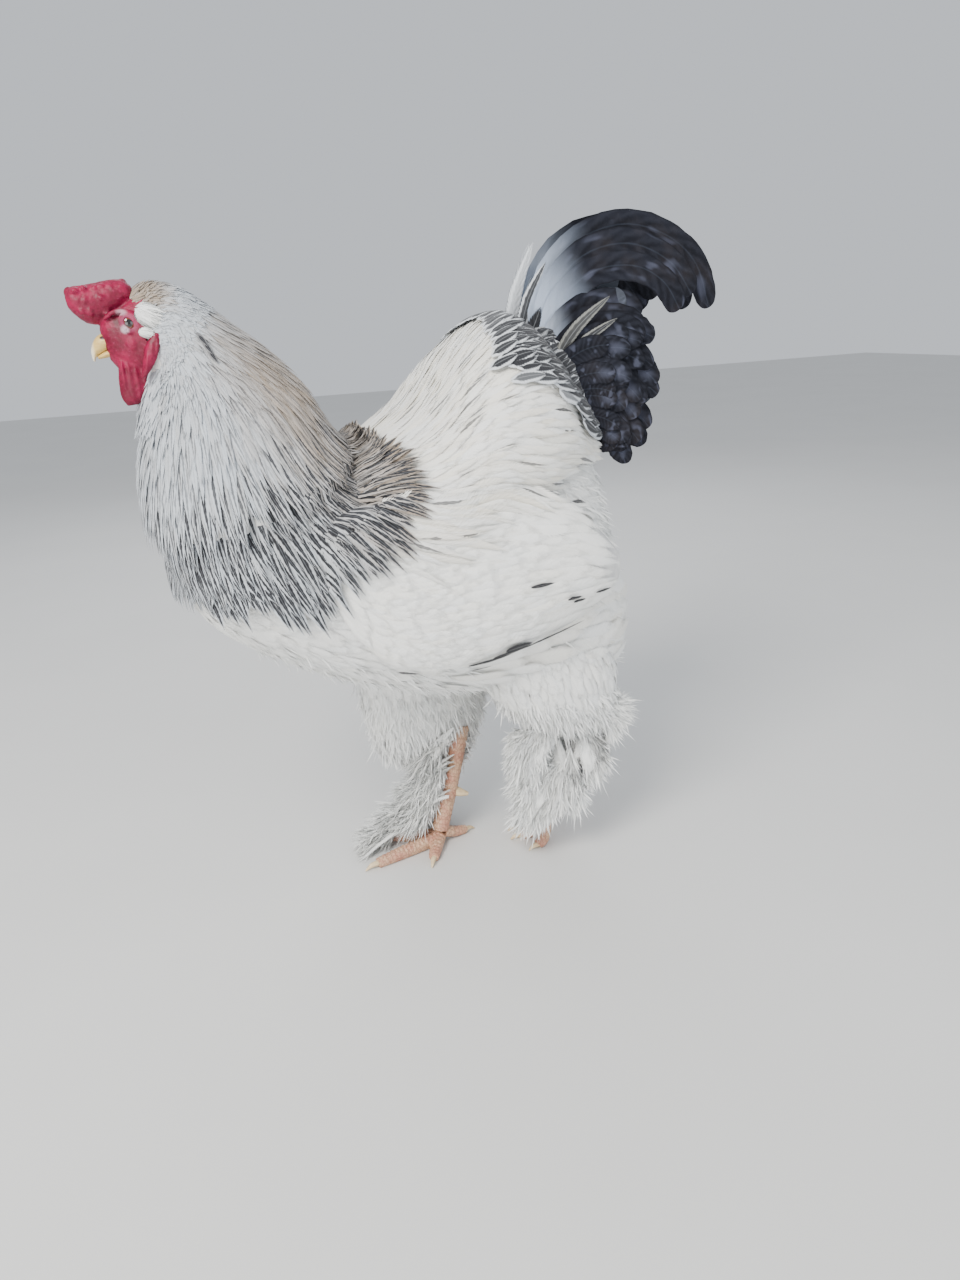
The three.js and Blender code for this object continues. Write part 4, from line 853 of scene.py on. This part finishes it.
def make_foot_feathers(name, material):
    face = unit(np.array(SPRAY_FACE[name], float))[None]
    coat = Coat()
    for tier, (root, rim, count) in enumerate(SPRAYS[name]):
        shadowed = tier in SHADOWED_TIERS[name]
        place = np.sort(draw.uniform(0, 1, count))
        tips = catmull(rim, place) + draw.normal(0, 4, (count, 3))
        tips += (tips - np.array(root)) * draw.uniform(-0.35, 0.0, (count, 1))
        roots = np.array(root) + draw.normal(0, 5, (count, 3)) - face * 3
        middle = (roots + tips) / 2 + face * draw.uniform(2, 14, (count, 1))
        paths = np.stack([roots, middle, tips], 1)
        shaft, normal = curve_shafts(paths, np.repeat(face, count, 0), 7)
        # Painted shadow: feathers of these tiers darken along the latter part of their rim.
        dark = ramp((place - 0.35) * 3) * (draw.uniform(0, 1, count) < 0.7) if shadowed else 0
        coat.add(shaft, normal, draw.uniform(9, 15, count), OVAL, rag=0.25, cup=0.3, crowded=True,
                 roll=draw.uniform(-0.5, 0.5, count), unwrap=(place, np.full(count, tier / 8)),
                 marks=(dark, dark * 0.7, draw.uniform(0, 0.1, count)))
        many = count * WISPS_PER_PLUME
        place = draw.uniform(0, 1, many)
        tips = catmull(rim, place)
        share = draw.uniform(0.0, 0.76, (many, 1))
        start = np.array(root) + (tips - np.array(root)) * share + face * draw.uniform(-4, 8, (many, 1))
        way = unit(tips - np.array(root) + face * 10)
        near = share[:, 0] < 0.6
        # Painted shadow on the down of these tiers as well.
        dark = ramp((place - 0.4) * 4) * near * draw.uniform(0.4, 1, many) if shadowed else 0
        wisps(coat, start, way, np.repeat(face, many, 0), length=19, strands=9, width=1.6, spread=0.26,
              curl=0.4, unwrap=(place, share[:, 0] / 8 + tier / 8), marks=(0, dark * 0.8, 0))
    coat.write(f"foot_plumes_{name}", material, "white_feather", (f"foot_feathers_{name}",))


# Tail

# The tail's root line: one point's y and z and the slope. Scatter of the roots sideways and along.
TAIL_ROOT, TAIL_ROOT_SLOPE = (106, 500), -0.34
ROOT_SCATTER = (2, 0)
PLUME_STEPS = 12


def plume_paths(count, x, z, rise, droop, length, drift, side):
    """Paths of feathers that set out from the tail's root line and droop."""
    u = (np.arange(count) + 0.5) / count
    low = z[0] + (z[1] - z[0]) * u
    sideways, along = (draw.uniform(-scatter, scatter, count) for scatter in ROOT_SCATTER)
    root = np.stack([side * (x[0] + (x[1] - x[0]) * u + sideways),
                     TAIL_ROOT[0] + (low - TAIL_ROOT[1]) * TAIL_ROOT_SLOPE + along, low], -1)
    start = np.radians(rise[0] + (rise[1] - rise[0]) * u + draw.uniform(-4, 4, count))
    bend = np.radians(droop) * draw.uniform(0.85, 1.15, count)
    reach = (length[0] + (length[1] - length[0]) * u) * draw.uniform(0.92, 1.06, count)
    side_way = side * (drift[0] + (drift[1] - drift[0]) * u + draw.uniform(-0.05, 0.05, count))
    path = [root]
    for k in range(PLUME_STEPS):
        heading = start - bend * (k + 0.5) / PLUME_STEPS
        way = unit(np.stack([side_way, np.cos(heading), np.sin(heading)], -1))
        path.append(path[-1] + way * (reach / PLUME_STEPS)[:, None])
    return np.stack(path, 1), u


# Layers of the tail: how many, then the ranges of side, height, rise in degrees, droop, length,
# drift to the side and width, and how dark.
TAIL_FANS = [
    (7, (3, 15), (486, 424), (76, 24), 35, (112, 84), (0.04, 0.26), (26, 31), 0.9),
    (9, (17, 26), (484, 424), (74, 20), 95, (122, 80), (0.08, 0.3), (24, 29), 1),
    (12, (26, 36), (478, 418), (66, 8), 90, (98, 62), (0.12, 0.34), (22, 27), 1),
    (13, (34, 42), (474, 416), (58, 4), 80, (72, 48), (0.16, 0.38), (20, 25), 1),
    (13, (38, 47), (470, 414), (50, 0), 60, (50, 36), (0.2, 0.4), (17, 22), 1),
]
PALE_LAYERS = 2
SICKLE = (0.3, 0.75, 0.95, 1, 1, 1, 1, 1, 1, 0.97)
SICKLES = [
    (25, [(9, 108, 482), (11, 117, 536), (14, 148, 571), (17, 192, 584), (19, 234, 574), (20, 264, 550),
          (20, 279, 512)]),
    (26, [(12, 110, 480), (16, 122, 530), (20, 152, 560), (24, 194, 568), (28, 232, 552), (30, 254, 524)]),
    (25, [(14, 112, 478), (18, 127, 520), (22, 158, 546), (27, 196, 550), (31, 224, 536), (33, 240, 512)]),
]
# Where the laced coverts begin on the saddle: angles round it and shares along it.
COVERT_EDGE = ((0, 0.6, 0.75, 1.0, 1.12, 1.27, 1.45), (0.66, 0.58, 0.53, 0.6, 0.74, 0.82, 0.88))
# White lances at the tail's root, a black one and olive-grey ones among its coverts: width, path, marks.
SPIKES = [
    (12, [(2, 88, 492), (3, 95, 530), (4, 112, 572)], (0.25, 0, 0)),
    (10, [(8, 94, 490), (10, 103, 526), (12, 120, 556)], (0.6, 0, 0)),
    (17, [(10, 94, 474), (15, 102, 496), (17, 112, 520)], (0, 1, 0)),
    (11, [(36, 116, 476), (41, 134, 502), (44, 164, 526)], (0.5, 0.35, 1)),
    (9, [(38, 122, 470), (43, 142, 492), (46, 170, 508)], (0.6, 0.3, 1)),
]


def add_plume(coat, side, width, path, rows, outline, unwrap, **look):
    path = np.array(path, float) * np.array([side, 1, 1])
    shaft, normal = curve_shafts(path[None], np.array([[side, 0.0, 0.1]]), rows)
    coat.add(shaft, normal, float(width), outline, unwrap=np.array(unwrap)[:, None], crowded=True, **look)


def make_tail(dark, laced):
    tail, coverts = Coat(), Coat()
    for _, side in SIDES:
        for layer, (count, x, z, rise, droop, length, drift, width, dusk) in enumerate(TAIL_FANS):
            paths, u = plume_paths(count, x, z, rise, droop, length, drift, side)
            shaft, normal = curve_shafts(paths, np.repeat(np.array([[side, 0.0, 0.12]]), count, 0), 18)
            tail.add(shaft, normal, draw.uniform(*width, count), PADDLE, columns=9, cup=0.05, rag=0.06,
                     tip=0.2, crowded=True, roll=draw.uniform(-0.12, 0.12, count),
                     unwrap=(u * 0.9, np.full(count, layer / 6)),
                     marks=(float(layer < PALE_LAYERS), dusk, draw.uniform(0, 0.6, count)))
        for k, (width, path) in enumerate(SICKLES):
            add_plume(tail, side, width, path, 34, SICKLE, (0.95, k / 4), columns=9, cup=0.06, rag=0.05,
                      tip=0.09, marks=(1, 1, 0.4))
        for k, (width, path, marks) in enumerate(SPIKES):
            add_plume(coverts, side, width, path, 10, LANCE, (0.9, k / 6), cup=0.2, rag=0.05, marks=marks)
        form = Form(STUMP)
        t, angle = form.places(12, 10, (-0.25, 0.95), (0.05, 3.1))
        t = ramp(t)
        coverts.lay(form, t, angle * side, vary(26, 38, t), outline=OVAL, rows=7, sink=2, lift=vary(0, 3, t),
                    width=vary(12, 17, t), cup=0.25, roll=vary(-0.2, 0.2, t),
                    unwrap=(angle * side / TURN, t * 0.8), rag=0.15,
                    marks=(vary(0.6, 1, t), vary(0, 0.7, t) * (vary(0, 1, t) < 0.5), 0))
        t, angle = saddle.places(18, 7.5, (0.5, 1.04), (0.02, 1.6))
        past = t - np.interp(angle, *COVERT_EDGE)
        some = past > vary(-0.03, 0.03, t)
        t, angle, past = t[some], angle[some], past[some]
        coverts.lay(saddle, t, side * angle, vary(20, 30, t), outline=OVAL, rows=7, sink=-2.5,
                    lift=vary(4.5, 7, t), turn=side * angle * 0.1, width=vary(11, 15, t), cup=0.2, rag=0.1,
                    roll=vary(-0.12, 0.12, t), unwrap=(angle / TURN + 0.5, t % 1 * 0.8),
                    marks=(ramp(0.6 + past * 6), np.clip((past - 0.08) * 4, 0, 0.75), 0))
    tail.write("tail_feathers", dark, "tail_feather", ("tail",))
    coverts.write("tail_coverts", laced, "tail_feather")


# Skin

def add_bent_grid(bm, count, sides, place):
    """Adds a grid bent to where place puts each share along and angle round, with its seam
    merged and its open ends closed."""
    made = bmesh.ops.create_grid(bm, x_segments=sides, y_segments=count - 1, size=1)["verts"]
    shares = np.array([(v.co.y / 2 + 0.5, v.co.x / 2 + 0.5) for v in made])
    points = metres(place(shares[:, 0], shares[:, 1] * TURN))
    for vert, point in zip(made, points):
        vert.co = point
    bmesh.ops.remove_doubles(bm, verts=made, dist=2e-5)
    made = [v for v in made if v.is_valid]
    rims = [e for e in {e for v in made for e in v.link_edges} if e.is_boundary]
    if rims:
        bmesh.ops.holes_fill(bm, edges=rims, sides=0)


def add_form(bm, form, count=24, sides=28):
    add_bent_grid(bm, count, sides, form.at)


def add_lid(bm, side, long, short, thick, out):
    """Round rim that lies on the eyeball, bowed outwards and thicker above."""
    def place(t, angle):
        round_eye = t * TURN
        along, over = long * np.cos(round_eye), short * np.sin(round_eye)
        y = along * math.cos(EYE_TILT) - over * math.sin(EYE_TILT)
        z = along * math.sin(EYE_TILT) + over * math.cos(EYE_TILT)
        rim = np.stack([side * np.sqrt(np.maximum(out ** 2 - y * y - z * z, 1)), y, z], -1)
        outward = unit(rim)
        across = unit(np.cross(outward, np.stack([0 * y, -z, y], -1)))
        across = np.cross(np.cross(outward, across), outward)
        radius = (thick * (1 + 0.25 * z / long))[:, None]
        ring = outward * np.cos(angle)[:, None] * radius + across * np.sin(angle)[:, None] * radius
        return np.array([side * EYE[0], *EYE[1:]]) + rim + ring
    add_bent_grid(bm, 49, 12, place)


def add_ball(bm, centre, radii, turn=None, fine=2):
    place = Matrix.Translation(Vector(metres(centre))) @ (turn or Matrix.Identity(4))
    place = place @ Matrix.Diagonal((*(r / 1000 for r in radii), 1))
    bmesh.ops.create_icosphere(bm, subdivisions=fine, radius=1, matrix=place)


def written_mesh(bm, name, smooth=True):
    bmesh.ops.recalc_face_normals(bm, faces=bm.faces)
    for face in bm.faces:
        face.smooth = smooth
    mesh = bpy.data.meshes.new(name)
    bm.to_mesh(mesh)
    bm.free()
    return mesh


def bare_piece(bm, name, material, node, smooth=True):
    return finish(written_mesh(bm, name, smooth), name, material, (node,))


def fused_mesh(bm, name, voxel, smoothing):
    """One closed skin over all that the bmesh holds."""
    mesh = written_mesh(bm, name)
    rough = bpy.data.objects.new(name, mesh)
    bpy.context.scene.collection.objects.link(rough)
    remesh = rough.modifiers.new("fuse", "REMESH")
    remesh.mode = "VOXEL"
    remesh.voxel_size = voxel / 1000
    smooth = rough.modifiers.new("soften", "SMOOTH")
    smooth.iterations = smoothing
    done = bpy.data.meshes.new_from_object(rough.evaluated_get(bpy.context.evaluated_depsgraph_get()))
    bpy.data.objects.remove(rough)
    done.name = name
    for polygon in done.polygons:
        polygon.use_smooth = True
    return done


def make_skin(material):
    bm = bmesh.new()
    add_form(bm, Form(NECK[:-1] + [NECK_ROOT], grow=-6), sides=40)
    add_form(bm, Form(CROWN[1:-1], grow=-1.5))
    add_form(bm, Form(THROAT, grow=-2))
    add_form(bm, Form(TORSO, grow=-4), count=36, sides=48)
    add_form(bm, Form(SADDLE, grow=-9), sides=40)
    add_form(bm, Form(STUMP, grow=-3))
    for name, side in SIDES:
        add_form(bm, Form(WING, side * WING_CENTRE, grow=-6))
        x, rows = THIGH[name]
        add_form(bm, Form(rows, x, grow=-6))
    mesh = fused_mesh(bm, "skin", voxel=4.0, smoothing=6)
    replaced = ["neck", "head", "torso", "saddle", "wing_left", "wing_right", "thigh_left", "thigh_right"]
    finish(mesh, "skin", material, replaced)


def make_red_skin(material):
    bm = bmesh.new()
    add_form(bm, Form(FACE, grow=0.3), count=20, sides=32)
    add_form(bm, Form(COMB), count=20, sides=28)
    for x, first, last, count, radii in COMB_BEADS:
        for side in (1, -1) if x else (1,):
            for u in np.linspace(0, 1, count):
                y, z = np.array(first) * (1 - u) + np.array(last) * u + draw.uniform(-0.9, 0.9, 2)
                spot = (side * x + draw.uniform(-0.7, 0.7), y, z)
                add_ball(bm, spot, [r * draw.uniform(0.75, 1.25) for r in radii])
    for _, side in SIDES:
        add_form(bm, Form(WATTLE, side * WATTLE_X), count=18, sides=22)
        for y, z, long in WATTLE_FOLDS:
            add_ball(bm, (side * (WATTLE_X + 3.4), y, z), (2.2, 1.5, long))
        add_form(bm, Form(EAR_LOBE, side * EAR_X), count=14, sides=18)
        for y, z, long in EAR_FOLDS:
            add_ball(bm, (side * (EAR_X + 3), y, z), (1.9, 1.3, long), Matrix.Rotation(-0.25, 4, "X"))
        for lid in LIDS:
            add_lid(bm, side, *lid)
        brow = [(side * x, y, z) for x, y, z in BROW]
        add_limb(bm, brow, (1.2, 2.0, 2.0, 1.0), 24, sides=12)
        (x, y, z), radii = CHEEK
        add_ball(bm, (side * x, y, z), radii)
    add_ball(bm, *CHIN)
    mesh = fused_mesh(bm, "red_skin", voxel=0.8, smoothing=3)
    eyes = [metres((side * EYE[0], *EYE[1:])) * 1000 for _, side in SIDES]
    spots = np.array([vert.co for vert in mesh.vertices]) * 1000
    outward = np.array([vert.normal for vert in mesh.vertices])
    away = np.min([np.linalg.norm(spots - eye, axis=1) for eye in eyes], axis=0)
    pebble = np.array([noise.noise(spot * 0.3) * 0.26 + noise.noise(spot * 0.9) * 0.1 for spot in spots])
    pebble *= away > EYE_RADIUS + 3
    mesh.vertices.foreach_set("co", ((spots + outward * pebble[:, None]) / 1000).reshape(-1))
    nodes = ["face", "comb", "wattle_left", "wattle_right", "ear_lobe_left", "ear_lobe_right"]
    finish(mesh, "red_skin", material, nodes)


def make_eye(name, side, material):
    bm = bmesh.new()
    add_ball(bm, (side * EYE[0], *EYE[1:]), [EYE_RADIUS] * 3, fine=4)
    bare_piece(bm, f"eyeball_{name}", material, f"eye_{name}")


def make_horn_piece(name, form, material, node):
    bm = bmesh.new()
    add_form(bm, form, count=16, sides=24)
    piece = bare_piece(bm, name, material, node)
    smooth = piece.modifiers.new("smooth", "SUBSURF")
    smooth.levels = smooth.render_levels = 1
    return piece


# Legs

def add_limb(bm, path, radii, count, sides=24, scutes=0.0, step=5.0, front=(0, -1, 0)):
    """Round limb along a path. Scutes step its front like overlapping plates."""
    def place(t, angle):
        centre = catmull(path, t)
        along = unit(catmull(path, np.minimum(t + 0.01, 1)) - catmull(path, np.maximum(t - 0.01, 0)))
        ahead = np.broadcast_to(np.array(front, float), along.shape)
        ahead = unit(ahead - along * (ahead * along).sum(-1, keepdims=True))
        across = np.cross(along, ahead)
        radius = np.interp(t, np.linspace(0, 1, len(radii)), radii)
        long = np.linalg.norm(np.diff(np.array(path, float), axis=0), axis=1).sum()
        saw = (t * long / step) % 1
        facing = np.clip(np.cos(angle) * 1.4 + 0.5, 0, 1)
        net = 0.4 * (1 - facing) * np.sin(angle * 6) * np.sin(saw * TURN)
        radius = radius + scutes * (facing * saw ** 2 + net)
        points = centre + ahead * (radius * np.cos(angle))[:, None]
        points = points + across * (radius * np.sin(angle))[:, None]
        points[:, 2] = np.maximum(points[:, 2], LOWEST_LIMB)
        return points
    add_bent_grid(bm, count, sides, place)


def make_leg(name, side, skin, horn):
    bm = bmesh.new()
    path, radii = SHANK[name]
    add_limb(bm, path, radii, 160, scutes=1.2, step=6.0)
    for toe, (toe_path, _) in TOES[name].items():
        add_limb(bm, toe_path, TOE_RADII[toe], 100, sides=20, scutes=0.9, step=4.6, front=(0, -0.5, 1))
    mesh = fused_mesh(bm, f"leg_skin_{name}", voxel=0.7, smoothing=1)
    finish(mesh, f"leg_skin_{name}", skin, (f"shank_{name}", f"foot_{name}"))
    for toe, (toe_path, tip) in TOES[name].items():
        bm = bmesh.new()
        end, tip = np.array(toe_path[-1], float), np.array(tip, float)
        radius = TOE_RADII[toe][-1] * 0.66
        middle = (end + tip) / 2 + np.array([0, 0, radius * 0.6])
        add_limb(bm, [end + (end - tip) * 0.15, middle, tip], (radius, radius * 0.75, 0.4), 20, sides=16)
        bare_piece(bm, f"nail_{name}_{toe}", horn, f"claw_{name}_{toe}")
    x, y, z = path[1]
    bm = bmesh.new()
    add_limb(bm, [(x, y - 3, z - 13), (x - side * 4, y + 6, z - 17), (x - side * 8, y + 14, z - 19)],
             (5.6, 4.6, 1.5), 16, sides=16)
    bare_piece(bm, f"heel_spur_{name}", horn, f"spur_{name}", smooth=False)


# Finishes of bare parts

def red_finish():
    made = Finish("wattle_red", Subsurface_Weight=0.04, Subsurface_Scale=0.003, Specular_IOR_Level=0.35)
    made.shader.inputs["Subsurface Radius"].default_value = (1.0, 0.25, 0.2)
    blotch = made.grain(60.0, 4.0)
    fine = made.grain(420.0, 3.0, lift=3.0)
    base = made.blend(blotch.between(0.35, 0.68), colour(100, 0, 36), colour(144, 8, 60))
    # Painted highlights: fine flecks of lighter pink over the crimson.
    base = made.blend(fine.between(0.55, 0.8) * 0.3, base, colour(182, 62, 108))
    base = made.blend(fine.between(0.45, 0.3) * 0.6, base, colour(78, 2, 20))
    away = made.far(EYE, 1.1)
    base = made.blend(away.between(8.0, 5.5) * (blotch * 0.5 + 0.05), base, colour(170, 96, 126))
    pale = made.far(PALE_SPOT, 1.0).between(4.2, 1.2) * 0.8 + made.far(PALE_BROW, 2.8).between(5.5, 1.5) * 0.4
    base = made.blend(pale, base, colour(208, 186, 196))
    # Painted shade in the crease in front of the eye.
    base = made.blend(made.far(EYE_CORNER_SHADE, 1.0).between(3.4, 1.2) * 0.7, base, colour(70, 2, 18))
    made.use("Base Color", base)
    made.use("Roughness", blotch * 0.3 + 0.34)
    made.bump(fine + blotch * 0.4, 0.4, 0.0006)
    return made.material


def horn_finish(name, pale, dark, nostril=False):
    made = Finish(name, Specular_IOR_Level=0.5)
    streak = made.grain(120.0, 3.0, stretch=(1, 1, 4))
    base = made.blend(streak.between(0.35, 0.75) * 0.5, pale, dark)
    if nostril:
        _, y, _ = made.place()
        base = made.blend((y - float(metres(BEAK_TIP)[1])).between(0.004, 0.0), base, colour(232, 224, 204))
        # Painted shade of the nostril's opening: a dark spot on the horn.
        base = made.blend(made.far(NOSTRIL, 3.0).between(2.6, 1.5), base, colour(40, 20, 20))
    made.use("Base Color", base)
    made.use("Roughness", streak * 0.25 + 0.28)
    made.bump(streak, 0.25, 0.0003)
    return made.material


def leg_finish():
    made = Finish("shank_skin", Subsurface_Weight=0.05, Subsurface_Scale=0.003)
    blotch = made.grain(60.0, 4.0)
    spot = made.node("ShaderNodeTexCoord")["Object"]
    spot = made.node("ShaderNodeMapping", {}, {"Vector": spot, "Scale": (1, 1, 0.8)})["Vector"]
    cells = {"feature": "DISTANCE_TO_EDGE"}
    seam = made.node("ShaderNodeTexVoronoi", cells, {"Vector": spot, "Scale": 300.0})["Distance"]
    base = made.blend(blotch.between(0.35, 0.7), colour(202, 166, 136), colour(186, 130, 110))
    base = made.blend(made.grain(300.0).between(0.5, 0.8) * 0.4, base, colour(228, 198, 156))
    base = made.blend(seam.between(0.12, 0.0) * 0.55, base, colour(140, 88, 70))
    made.use("Base Color", base)
    made.use("Roughness", blotch * 0.2 + 0.42)
    made.bump(seam.between(0.0, 0.2), 0.6, 0.0006)
    return made.material


def eye_finish():
    made = Finish("eye_gloss", Roughness=0.06, Coat_Weight=1.0, Coat_Roughness=0.02)
    away = made.far(EYE)
    iris = made.blend(made.grain(900.0, 2.0).between(0.35, 0.7), colour(84, 36, 14), colour(132, 66, 28))
    base = made.blend(away.between(2.9, 2.4), iris, colour(7, 5, 7))
    base = made.blend(away.between(3.9, 4.6), base, colour(30, 12, 10))
    made.use("Base Color", base)
    return made.material


def skin_finish():
    made = Finish("pale_skin", Roughness=0.85)
    _, y, z = made.place()
    # Painted shade under the tail's root: the skin is dark there.
    rear = y.between(0.095, 0.125) * z.between(0.33, 0.4)
    base = made.blend(made.grain(80.0).between(0.3, 0.7), colour(196, 196, 196), colour(226, 226, 222))
    base = made.blend(rear, base, colour(44, 45, 52))
    made.use("Base Color", base)
    made.bump(made.grain(300.0), 0.4, 0.001)
    return made.material


white = feather_finish("white_feather", WHITE, CREAM, CHARCOAL, stripe=(0.2, 0.6), start=0.3)
hackle = feather_finish("hackle_feather", colour(178, 185, 192), TAN, CHARCOAL,
                        stripe=(0.12, 0.58), start=0.12, fray=0.5)
slate = feather_finish("slate_feather", colour(150, 166, 192), colour(186, 198, 216), colour(22, 23, 29),
                       spots=colour(74, 77, 92), sheen=0.02, gloss=0.06, shine=0.03, fray=0.0)
laced = feather_finish("laced_feather", colour(210, 214, 218), colour(128, 126, 112), colour(24, 25, 30),
                       stripe=(0.4, 0.85), start=0.02, fray=0.5)

make_red_skin(red_finish())
eye_look = eye_finish()
for name, side in SIDES:
    make_eye(name, side, eye_look)
beak_look = horn_finish("beak_horn", colour(206, 176, 106), colour(170, 128, 62), nostril=True)
make_horn_piece("beak_upper_horn", Form(BEAK_UPPER), beak_look, "beak_upper")
make_horn_piece("beak_lower_horn", Form(BEAK_LOWER), beak_look, "beak_lower")
claw_look = horn_finish("claw_horn", colour(222, 200, 160), colour(150, 118, 84))
leg_look = leg_finish()
for name, side in SIDES:
    make_leg(name, side, leg_look, claw_look)
make_skin(skin_finish())
make_cape(hackle)
make_head_feathers(hackle)
make_ear_tufts(white)
make_body_feathers(white)
make_saddle(white)
for name, side in SIDES:
    make_wing(name, side, white)
    make_thigh(name, white)
    make_foot_feathers(name, white)
make_rear_fluff(white)
make_tail(slate, laced)

# Floor, light and camera

# The photograph's camera in the bird's frame: its place, and its right and upward directions.
CAMERA_AT = (784.3, -238.5, 520.0)
CAMERA_RIGHT = (0.3580, 0.9324, -0.0493)
CAMERA_UP = (-0.2969, 0.1638, 0.9408)
CAMERA_LENS = 26.0

bm = bmesh.new()
bmesh.ops.create_grid(bm, x_segments=2, y_segments=2, size=6)
ground = written_mesh(bm, "floor", smooth=False)
floor = bpy.data.objects.new("floor", ground)
bpy.context.scene.collection.objects.link(floor)
pale = Finish("pale_floor", Roughness=0.9)
pale.use("Base Color", pale.blend(pale.grain(3.0), (0.62, 0.62, 0.61, 1), (0.68, 0.68, 0.67, 1)))
ground.materials.append(pale.material)

world = bpy.data.worlds.new("studio")
world.use_nodes = True
sky = world.node_tree.nodes["Background"].inputs
sky["Color"].default_value = (0.86, 0.9, 0.96, 1)
sky["Strength"].default_value = 0.8
bpy.context.scene.world = world


def soft_light(name, place, aim, size, power, tint):
    lamp = bpy.data.lights.new(name, "AREA")
    lamp.size = size
    lamp.energy = power
    lamp.color = tint
    holder = bpy.data.objects.new(name, lamp)
    holder.location = place
    holder.rotation_euler = (Vector(aim) - Vector(place)).to_track_quat("-Z", "Y").to_euler()
    bpy.context.scene.collection.objects.link(holder)


soft_light("key", (1.1, -1.2, 1.7), (0, 0, 0.3), 0.9, 62, (1.0, 0.97, 0.92))
soft_light("fill", (1.4, 1.0, 0.35), (0, 0, 0.2), 1.4, 14, (0.92, 0.96, 1.0))
soft_light("low", (1.3, -1.0, 0.25), (0, 0, 0.1), 1.0, 13, (1.0, 0.98, 0.95))
soft_light("back", (-1.6, 0.4, 1.5), (0, 0, 0.35), 1.4, 16, (0.95, 0.97, 1.0))

eye_data = bpy.data.cameras.new("camera")
eye_data.lens = CAMERA_LENS
eye_data.sensor_width = 36
camera = bpy.data.objects.new("camera", eye_data)
right, up = Vector(CAMERA_RIGHT), Vector(CAMERA_UP)
turned = Matrix((right, up, right.cross(up))).transposed().to_4x4()
camera.matrix_world = Matrix.Translation(Vector(metres(CAMERA_AT))) @ turned
bpy.context.scene.collection.objects.link(camera)
bpy.context.scene.camera = camera
